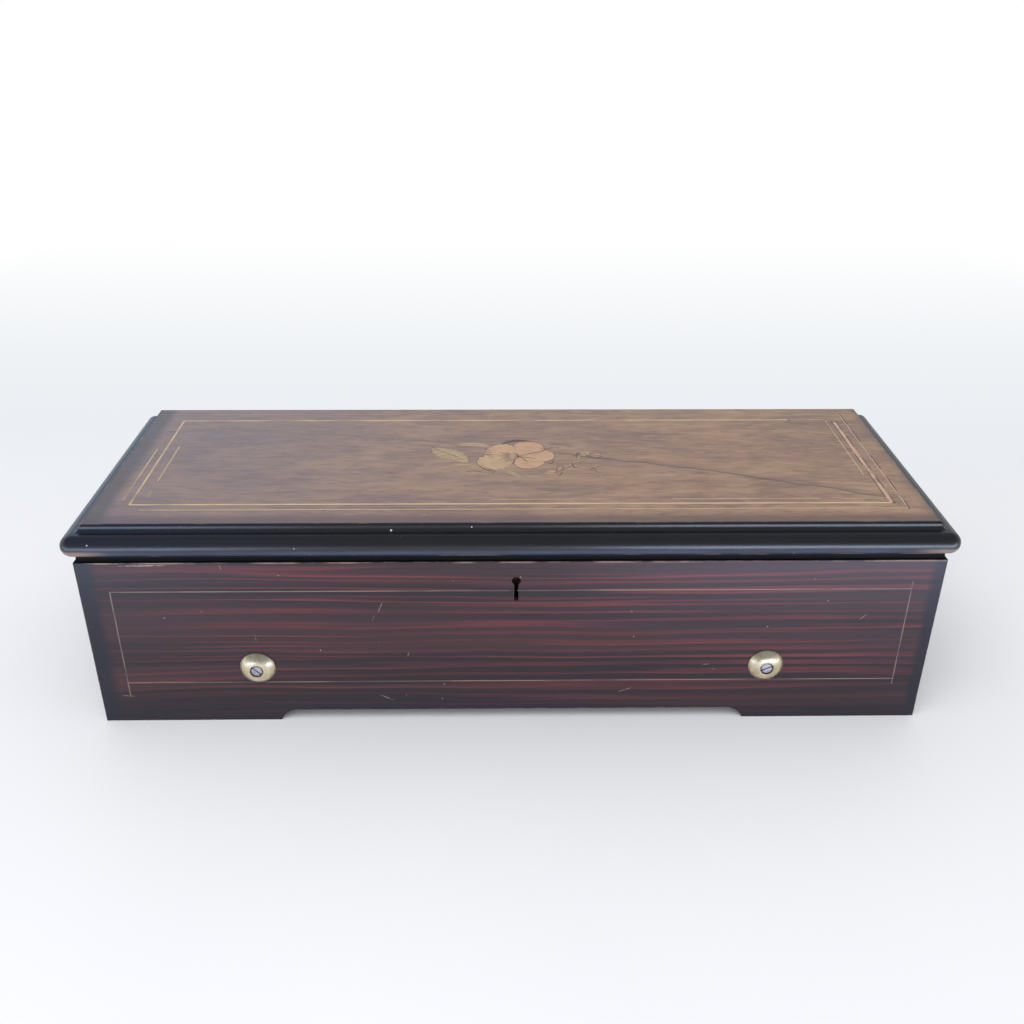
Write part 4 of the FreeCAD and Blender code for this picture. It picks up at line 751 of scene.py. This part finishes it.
def lid_thin_stringing():
    """Thin lines outside and inside the broad one, of which parts are lost."""
    line = Sheet(on_lid)
    worn_line(line, (-207, OUTER_FRONT), (OUTER_RIGHT, OUTER_FRONT), THIN_WIDTH, FLAT_LIFT)
    worn_line(line, (OUTER_LEFT, -49), (OUTER_LEFT, 20), THIN_WIDTH, LINE_LIFT)
    lost = [(0.30, 0.46), (0.84, 0.90)]
    worn_line(line, (-12, INNER_FRONT), (211, INNER_FRONT), FAINT_WIDTH, FLAT_LIFT, lost)
    worn_line(line, (INNER_LEFT, -46), (INNER_LEFT, 24), THIN_WIDTH, LINE_LIFT, [(0.12, 0.30)])
    worn_line(line, (186, BROAD_BACK), (208, BROAD_BACK), THIN_WIDTH, LINE_LIFT)
    line.finish("lid_thin_stringing", THIN_LINE, "lid", "lid_veneer")


def petal_width(half, crown, ruffle):
    """Half width of a petal: narrow at its root, widest at the crown, and round at its ruffled rim."""

    def width(share):
        wave = half * (1 + ruffle * math.sin(11 * math.pi * share))
        if share < crown:
            return wave * math.sin(math.pi / 2 * share / crown) ** 0.8
        return wave * math.sqrt(max(0.0, 1 - ((share - crown) / (1 - crown)) ** 2))

    return width


def leaf_width(half):
    """Half width of a pointed leaf."""

    def width(share):
        return half * math.sin(math.pi * share) ** 0.8

    return width


def turned_from(centre, angle, reach):
    """Point at that reach from a centre, in a direction in degrees."""
    turn = math.radians(angle)
    return (centre[0] + reach * math.cos(turn), centre[1] + reach * math.sin(turn))


# Lifts of the inlay's woods and of the lines engraved in them
WOOD_LIFT, PETAL_STEP, BUD_LIFT = 0.05, 0.008, 0.06
BACK_LIFT, STEM_SHADE_LIFT, TENDRIL_LIFT = 0.04, 0.06, 0.08
VEIN_LIFT, OUTLINE_LIFT, CUT_LIFT = 0.10, 0.11, 0.12

# Petals of the flower about its centre, as (direction in degrees, length, half width, tint, ruffle)
FLOWER_AT = (3.5, 8.0)
PETALS = (
    (58, 24.0, 9.8, 1.0, 0.03),
    (138, 21.5, 10.2, 0.60, 0.08),
    (2, 23.5, 8.8, 0.65, 0.03),
    (-50, 20.0, 9.6, 0.80, 0.03),
    (210, 26.5, 10.6, 0.30, 0.09),
)
PETAL_CROWN = 0.62
PETAL_ROWS = 28
OUTLINE_STEPS = 20
OUTLINE_DRAWN = 28
RAY_START = 4.2

# Dark joints between its petals on the right
SEAMS = (
    ((4.5, 8.0), (11, 11.5), (18, 15), (26, 20.5)),
    ((4.5, 8.0), (10, 6.0), (15, 4.6)),
    ((4.5, 8.0), (8, 3.5), (10, -1.0)),
)

# Scorched rims of its left petals, as (first hatch, step from hatch to hatch, the hatch itself)
HATCHED_RIMS = (
    ((-16.2, 19.0), (0.5, -2.6), (3.4, -0.8)),
    ((-19.0, -8.0), (1.5, -1.5), (2.2, 3.0)),
)
HATCHES = 6

# Engraved curls round the buds on its right
CURLS = (
    ((36.3, 1.5), (37.5, -6.5), (39.5, -8.5)),
    ((40.6, 4.4), (40.2, 9.4), (41.8, 12.4), (43.7, 8.4)),
    ((26.9, -14.4), (27.8, -7.5), (30.4, -6.0), (31.4, -11.0)),
    ((27.4, -19.4), (29.2, -18.0), (30.4, -13.6)),
    ((21.9, -1.5), (24.2, -2.5), (26.6, 3.4)),
    ((47.2, -10.5), (49.6, -9.5), (51.2, -14.4)),
    ((45.3, 14.3), (47.6, 8.4), (51.6, 5.0), (55.5, 8.4), (55.1, 12.4)),
)

# Stems on its right, and buds on them as (root, tip, half width)
STEMS = (
    ((18.5, 19), (26, 21.8), (35, 20)),
    ((24, -3), (31, -8), (38, -2), (45, 3)),
    ((36, 1), (38, -5), (43.5, -7.5)),
    ((41, 3), (43, 9), (49, 9.5), (56.5, 8.6)),
    ((31, -8), (27, -13), (20, -17.8)),
    ((46, -3), (49, -7), (53, -5.5)),
)
BUDS = (
    ((26, -12.5), (21, -17.5), 2.6),
    ((43, 8), (48, 14), 2.6),
    ((50, 9.2), (57, 8.6), 2.0),
    ((30, 20.8), (36, 19.6), 1.5),
    ((41, -6), (45, -8.5), 1.4),
    ((29, -6), (29.5, -11.5), 2.3),
)


def draw_petals(wood, lines):
    """Petals that lie one on the other, each with part of its rim outlined."""
    for order, (angle, length, half, tint, ruffle) in enumerate(PETALS):
        rows = range(1, PETAL_ROWS + 1)
        spine = [turned_from(FLOWER_AT, angle, length * row / PETAL_ROWS) for row in rows]
        width = petal_width(half, PETAL_CROWN, ruffle)
        wood.leaf(spine, width, WOOD_LIFT + PETAL_STEP * order, tint)
        rim = []
        for step in range(-OUTLINE_STEPS, OUTLINE_STEPS + 1):
            place = step / OUTLINE_STEPS
            share = 1 - 0.72 * abs(place) ** 1.6
            middle = turned_from(FLOWER_AT, angle, length * share)
            rim.append(turned_from(middle, angle + 90, math.copysign(width(share), place)))
        lines.strip(rim[:OUTLINE_DRAWN], 0.30, OUTLINE_LIFT, 0.9)


def draw_flower_lines(lines):
    """Rays and throat at the flower's middle, its seams, the curls beside it and its hatched rims."""
    for angle in range(138, 262, 13):
        length = (11.5 if angle % 2 else 9.0) - RAY_START
        ray = [turned_from(FLOWER_AT, angle, RAY_START + length * step / 4) for step in range(5)]
        lines.strip(ray, 0.62, CUT_LIFT, 0.7)
    throat_at = (FLOWER_AT[0] - 3.5, FLOWER_AT[1])
    throat = [turned_from(throat_at, angle, 4.6) for angle in range(-75, 90, 15)]
    lines.strip(throat, 0.75, CUT_LIFT, 0.6)
    for seam in SEAMS:
        lines.strip(curve(seam), 0.7, CUT_LIFT, 0.9)
    for curl in CURLS:
        lines.strip(curve(curl), 0.5, OUTLINE_LIFT, 0.8)
    for start, step, hatch in HATCHED_RIMS:
        for count in range(HATCHES):
            root = (start[0] + step[0] * count, start[1] + step[1] * count)
            lines.strip([root, (root[0] + hatch[0], root[1] + hatch[1])], 0.32, CUT_LIFT)


def draw_leaves(wood, lines):
    """Leaf below the flower, the dark petal behind it, and the toothed leaf and sprays on its left."""
    sepal = curve([(-4, -12.5), (1, -16.5), (6.4, -23)])
    wood.leaf(sepal, leaf_width(1.5), WOOD_LIFT, 0.1, dark_root=False)
    lines.strip(sepal, 0.3, VEIN_LIFT, 0.6)
    dark = curve([(-5.5, 27), (3, 31.2), (13.5, 30.2)])
    lines.strip(dark, 3.6, BACK_LIFT, 0.9)

    toothed = curve([(-26.5, -1), (-34, 8), (-42, 14), (-48.5, 20.5)])
    wood.leaf(
        toothed, leaf_width(5.6), WOOD_LIFT, 0.0, teeth=7, tooth=0.45, dark_root=False, fade=0.62
    )
    lines.strip(toothed, 0.24, VEIN_LIFT, 0.6)
    for share in (0.2, 0.36, 0.52, 0.68, 0.84):
        root = along(toothed, share)
        for rise in (-1.4, 6.0):
            lines.strip([root, (root[0] - 4.6, root[1] + rise)], 0.28, VEIN_LIFT, 0.7)
    upper = curve([(-11, 21.3), (-22, 25.4), (-34.5, 25.2)])
    wood.leaf(upper, leaf_width(2.3), WOOD_LIFT, 0.2, dark_root=False)
    lines.strip(upper, 0.28, VEIN_LIFT, 0.6)
    lower = curve([(-17, -9), (-26, -4.2), (-36, -5), (-44, -10)])
    wood.strip(lower, 0.75, WOOD_LIFT, 0.5)
    tendril = curve([(-27.5, -13.5), (-23, -12.4), (-18, -13.4)])
    lines.strip(tendril, 0.35, TENDRIL_LIFT, 0.7)


def draw_buds(wood, lines):
    """Stems with a dark lower edge, and hatched buds, on the flower's right."""
    for stem in STEMS:
        path = curve(stem)
        wood.strip(path, 0.75, WOOD_LIFT, 0.6)
        lines.strip([(u + 0.5, v - 0.55) for u, v in path], 0.26, STEM_SHADE_LIFT, 0.8)
    for root, tip, half in BUDS:
        spine = [along([root, tip], step / 8) for step in range(9)]
        wood.leaf(spine, leaf_width(half), BUD_LIFT, 0.3, dark_root=False)
        for side in (-0.5, 0.0, 0.5):
            hatch = [(u + side * half, v - 0.2 * side * half) for u, v in spine[2:7]]
            lines.strip(hatch, 0.3, VEIN_LIFT, 0.8)


def lid_inlay():
    """Five-petalled flower with leaves on its left, and buds and tendrils on its right."""
    wood = Sheet(on_lid)
    lines = Sheet(on_lid)
    draw_petals(wood, lines)
    draw_flower_lines(lines)
    draw_leaves(wood, lines)
    draw_buds(wood, lines)
    wood.finish("lid_inlay", INLAY, "lid", "lid_veneer")
    lines.finish("lid_inlay_lines", INK, "lid", "lid_veneer")


def front_stringing():
    """Thin pale lines along the front, and their fainter uprights, which run past the corners."""
    left, right, low, high = -223.2, 223.2, 27.6, 89.6
    width = 0.65
    keyhole_gap = (0.495, 0.505)
    level = Sheet(on_front)
    worn_line(level, (left, high), (right, high), width, 0.03, [keyhole_gap])
    worn_line(level, (left, low), (right, low), width, 0.03)
    level.finish("front_stringing", FRONT_LINE, "case", "front_veneer")
    upright = Sheet(on_front)
    worn_line(upright, (left, 18.6), (left, high), width, 0.04)
    worn_line(upright, (right, 23.6), (right, 94), width, 0.04)
    upright.finish("front_upright_stringing", UPRIGHT_LINE, "case", "front_veneer")


# Scuffs on the front, each from one (u, v) point to another
SCUFFS = (
    ((-216, 106.4), (-190, 106.6)),
    ((-73, 82), (-76, 75)),
    ((-78, 73.5), (-79.5, 70)),
    ((-59.5, 48), (-60.5, 45)),
    ((-78, 18), (-70, 14)),
    ((-146.3, 61), (-146, 56)),
    ((-160, 104), (-161, 107)),
    ((197, 69), (201, 73)),
    ((110, 38.5), (114, 38.6)),
    ((116, 35), (118, 35.4)),
    ((-228, 18.4), (-221, 17.8)),
    ((62, 19), (70, 22)),
)


def front_scuffs():
    """Fine scratches through the polish of the front, wider where they are longer."""
    marks = Sheet(on_front)
    steps = 4
    for start, end in SCUFFS:
        width = 0.20 + 0.02 * math.dist(start, end)
        points = [along([start, end], step / steps) for step in range(steps + 1)]
        marks.strip(points, width, 0.02, 0.8)
    marks.finish("front_scuffs", SCUFF, "case", "front_veneer")


def cylinder_pins():
    """Steel pins of the tunes, at random places round the cylinder in the track of each comb tooth."""
    # Spacing of the comb's teeth, the slot between two of them, and the sizes of a pin
    pitch, slot = 2.7 * MM, 0.4 * MM
    pin_radius, pin_height, pin_root = 0.22 * MM, 0.8 * MM, 0.2 * MM
    tunes, pins_per_tooth, sides = 8, 46, 5
    teeth = round((comb_high.x - comb_low.x + slot) / pitch)
    axis_y = (tube_low.y + tube_high.y) / 2
    axis_z = (tube_low.z + tube_high.z) / 2
    radius = (tube_high.z - tube_low.z) / 2
    tip = pin_root + pin_height
    profile = ((0.0, 1.0), (tip - 0.1 * MM, 0.8), (tip, 0.35))
    draw = random.Random(11)
    mesh = bmesh.new()
    for tooth in range(teeth):
        for _ in range(pins_per_tooth):
            turn = draw.uniform(0, 2 * math.pi)
            track = (draw.randrange(tunes) + 0.5) / tunes
            x = comb_low.x + tooth * pitch + track * (pitch - slot)
            out = Vector((0, math.cos(turn), math.sin(turn)))
            side = Vector((0, -math.sin(turn), math.cos(turn)))
            foot = Vector((x, axis_y, axis_z)) + out * (radius - pin_root)
            rings = []
            for lift, share in profile:
                ring = []
                for corner in range(sides):
                    angle = 2 * math.pi * corner / sides
                    around = side * math.cos(angle) + Vector((1, 0, 0)) * math.sin(angle)
                    ring.append(mesh.verts.new(foot + out * lift + around * pin_radius * share))
                rings.append(ring)
            for ring, following in zip(rings, rings[1:]):
                for corner in range(sides):
                    after = (corner + 1) % sides
                    mesh.faces.new((ring[corner], ring[after], following[after], following[corner]))
            mesh.faces.new(rings[-1])
    bmesh.ops.recalc_face_normals(mesh, faces=mesh.faces)
    add_piece("cylinder_pins", mesh, MATERIALS["steel"], "cylinder")


def card_border():
    """Ruled border, corner sprays and blank lines of the tune card."""
    lines = Sheet(on_card)
    lift = 0.03
    rows, row_step, first_row, row_half = 8, 7.4, 27, 62
    half_u = (card_high.x - card_low.x) / 2 / MM
    half_v = (card_high.y - card_low.y) / 2 / MM
    for inset, width in ((4.0, 1.0), (6.4, 0.4)):
        u, v = half_u - inset, half_v - inset
        corners = [(-u, -v), (u, -v), (u, v), (-u, v)]
        for start, end in zip(corners, [*corners[1:], corners[0]]):
            lines.strip([start, end], width, lift)
    for side_u in (-1, 1):
        for side_v in (-1, 1):
            corner = (side_u * (half_u - 8), side_v * (half_v - 8))
            for reach_u, reach_v in ((22, 2), (2, 16), (14, 10)):
                tip = (corner[0] - side_u * reach_u, corner[1] - side_v * reach_v)
                middle = (
                    corner[0] - side_u * reach_u * 0.4,
                    corner[1] - side_v * (reach_v * 0.6 + 3),
                )
                lines.strip(curve([corner, middle, tip]), 0.9, lift, 0.8)
    for row in range(rows):
        v = first_row - row * row_step
        lines.strip([(-row_half, v), (row_half, v)], 0.3, lift)
    lines.finish("tune_card_border", INK, "lid", "paper")


def dress_frame():
    """Give every CAD node its finish."""
    slots = {row["node"]: row["material_slot"] for row in frame["record"]["subparts"]}
    for name, node in frame["nodes"].items():
        finish = NODE_MATERIALS.get(name) or MATERIALS[slots[name]]
        node.data.materials.clear()
        node.data.materials.append(finish)


# Stage, light and camera, in metres
WHITE = (1.0, 1.0, 1.0, 1.0)
SOFT_LIGHT = (0.76, 0.77, 0.79, 1.0)
SIDE_LEFT = (1.30, 1.42, 1.60, 1.0)
WALL_LEFT = (0.88, 1.06, 1.36, 1.0)
WALL_RIGHT = (0.84, 0.84, 0.86, 1.0)
CEILING = (0.34, 0.36, 0.41, 1.0)
BOX_MIDDLE = (0.0, 0.0, 0.05)
FLOOR_HALF = 6.0
FLOOR_DROP = 0.05 * MM


def add_floor():
    """Pale floor that runs into plain white at the back and all round, as the camera sees it."""
    f = Finish("floor")
    cloud = f.noise((260, 260, 260), 3.0)
    color = f.mix(cloud, srgb(238, 239, 241), srgb(231, 232, 235))
    f.set(color=color, roughness=0.6, specular=0.2)
    apart = f.calc("SQRT", f.add(f.times(f.x, f.x), f.times(f.y, f.y)))
    white = f.most(f.ease(f.y, 0.32, 1.15), f.ease(apart, 0.75, 1.30))
    glow = f.shine("ShaderNodeEmission", f.mix(white, srgb(235, 239, 243), WHITE))
    far = f.most(f.ease(f.y, 0.16, 0.42), f.ease(apart, 0.55, 1.00))
    path = f.nodes.new("ShaderNodeLightPath")
    seen = f.either(f.times(path.outputs["Is Camera Ray"], far), f.shader.outputs[0], glow)
    f.feed(f.nodes["Material Output"].inputs["Surface"], seen)
    mesh = bmesh.new()
    bmesh.ops.create_grid(mesh, x_segments=1, y_segments=1, size=FLOOR_HALF)
    floor = add_object("floor", mesh, f.material)
    floor.location.z = -FLOOR_DROP


def add_sky():
    """Even light; glossy surfaces mirror bright walls and a dark ceiling, and the camera sees white."""
    world = bpy.data.worlds.new("sky")
    bpy.context.scene.world = world
    world.use_nodes = True
    sky = Nodes(world.node_tree)
    sky.nodes.clear()
    x, y, z = sky.split(sky.nodes.new("ShaderNodeTexCoord").outputs["Generated"])
    rise = sky.calc("MULTIPLY_ADD", y, -0.4, z)
    wall = sky.mix(sky.ease(x, -0.35, 0.30), WALL_LEFT, WALL_RIGHT)
    wall = sky.mix(sky.ease(x, -0.75, -0.35), SIDE_LEFT, wall)
    room = sky.mix(sky.ease(rise, 0.2, 0.6), wall, CEILING)
    even, mirrored, plain = (
        sky.shine("ShaderNodeBackground", color) for color in (SOFT_LIGHT, room, WHITE)
    )
    path = sky.nodes.new("ShaderNodeLightPath")
    seen = sky.either(path.outputs["Is Glossy Ray"], even, mirrored)
    seen = sky.either(path.outputs["Is Camera Ray"], seen, plain)
    output = sky.nodes.new("ShaderNodeOutputWorld")
    sky.feed(output.inputs["Surface"], seen)


def add_lamp(name, at, aim, size, power, color, mirrored):
    """Soft rectangular lamp; a mirrored one shows in reflections alone, any other lights without one."""
    data = bpy.data.lights.new(name, "AREA")
    data.shape = "RECTANGLE"
    data.size, data.size_y = size
    data.energy = power
    data.color = color
    lamp = bpy.data.objects.new(name, data)
    lamp.location = at
    lamp.rotation_euler = (Vector(aim) - Vector(at)).to_track_quat("-Z", "Y").to_euler()
    lamp.visible_camera = False
    lamp.visible_glossy = mirrored
    lamp.visible_diffuse = not mirrored
    bpy.context.scene.collection.objects.link(lamp)


def add_lamps():
    """Two lamps that light the box, and two bluish strips on the floor that its front mirrors."""
    add_lamp(
        "window",
        at=(-0.3, -1.8, 0.5),
        aim=BOX_MIDDLE,
        size=(2.6, 0.9),
        power=14,
        color=(0.94, 0.97, 1.0),
        mirrored=False,
    )
    add_lamp(
        "fill",
        at=(-0.5, -1.2, 2.0),
        aim=BOX_MIDDLE,
        size=(2.0, 1.4),
        power=22,
        color=(1.0, 0.99, 0.98),
        mirrored=False,
    )
    add_lamp(
        "left_strip",
        at=(-0.87, -0.56, 0.004),
        aim=(-0.87, -0.56, 1.0),
        size=(1.26, 0.46),
        power=16,
        color=(0.55, 0.70, 1.0),
        mirrored=True,
    )
    add_lamp(
        "right_strip",
        at=(0.80, -0.56, 0.004),
        aim=(0.80, -0.56, 1.0),
        size=(1.40, 0.46),
        power=27,
        color=(0.62, 0.74, 1.0),
        mirrored=True,
    )


def add_camera():
    """Camera of the photograph."""
    yaw, pitch, roll = (math.radians(a) for a in (CAMERA_YAW, CAMERA_PITCH, CAMERA_ROLL))
    level_share = math.cos(pitch)
    forward = Vector((math.sin(yaw) * level_share, math.cos(yaw) * level_share, -math.sin(pitch)))
    level = Vector((math.cos(yaw), -math.sin(yaw), 0))
    down = forward.cross(level)
    right = math.cos(roll) * level + math.sin(roll) * down
    up = math.sin(roll) * level - math.cos(roll) * down
    data = bpy.data.cameras.new("camera")
    data.sensor_width = SENSOR
    data.lens = SENSOR * FOCAL_PIXELS / FRAME_PIXELS
    data.clip_start = 0.02
    camera = bpy.data.objects.new("camera", data)
    turn = Matrix((right, up, -forward)).transposed().to_4x4()
    camera.matrix_world = Matrix.Translation(CAMERA_AT) @ turn
    bpy.context.scene.collection.objects.link(camera)
    bpy.context.scene.camera = camera


dress_frame()
lid_stringing()
lid_end_stringing()
lid_thin_stringing()
lid_inlay()
front_stringing()
front_scuffs()
cylinder_pins()
card_border()
add_floor()
add_sky()
add_lamps()
add_camera()
bpy.context.scene.view_settings.view_transform = "Standard"
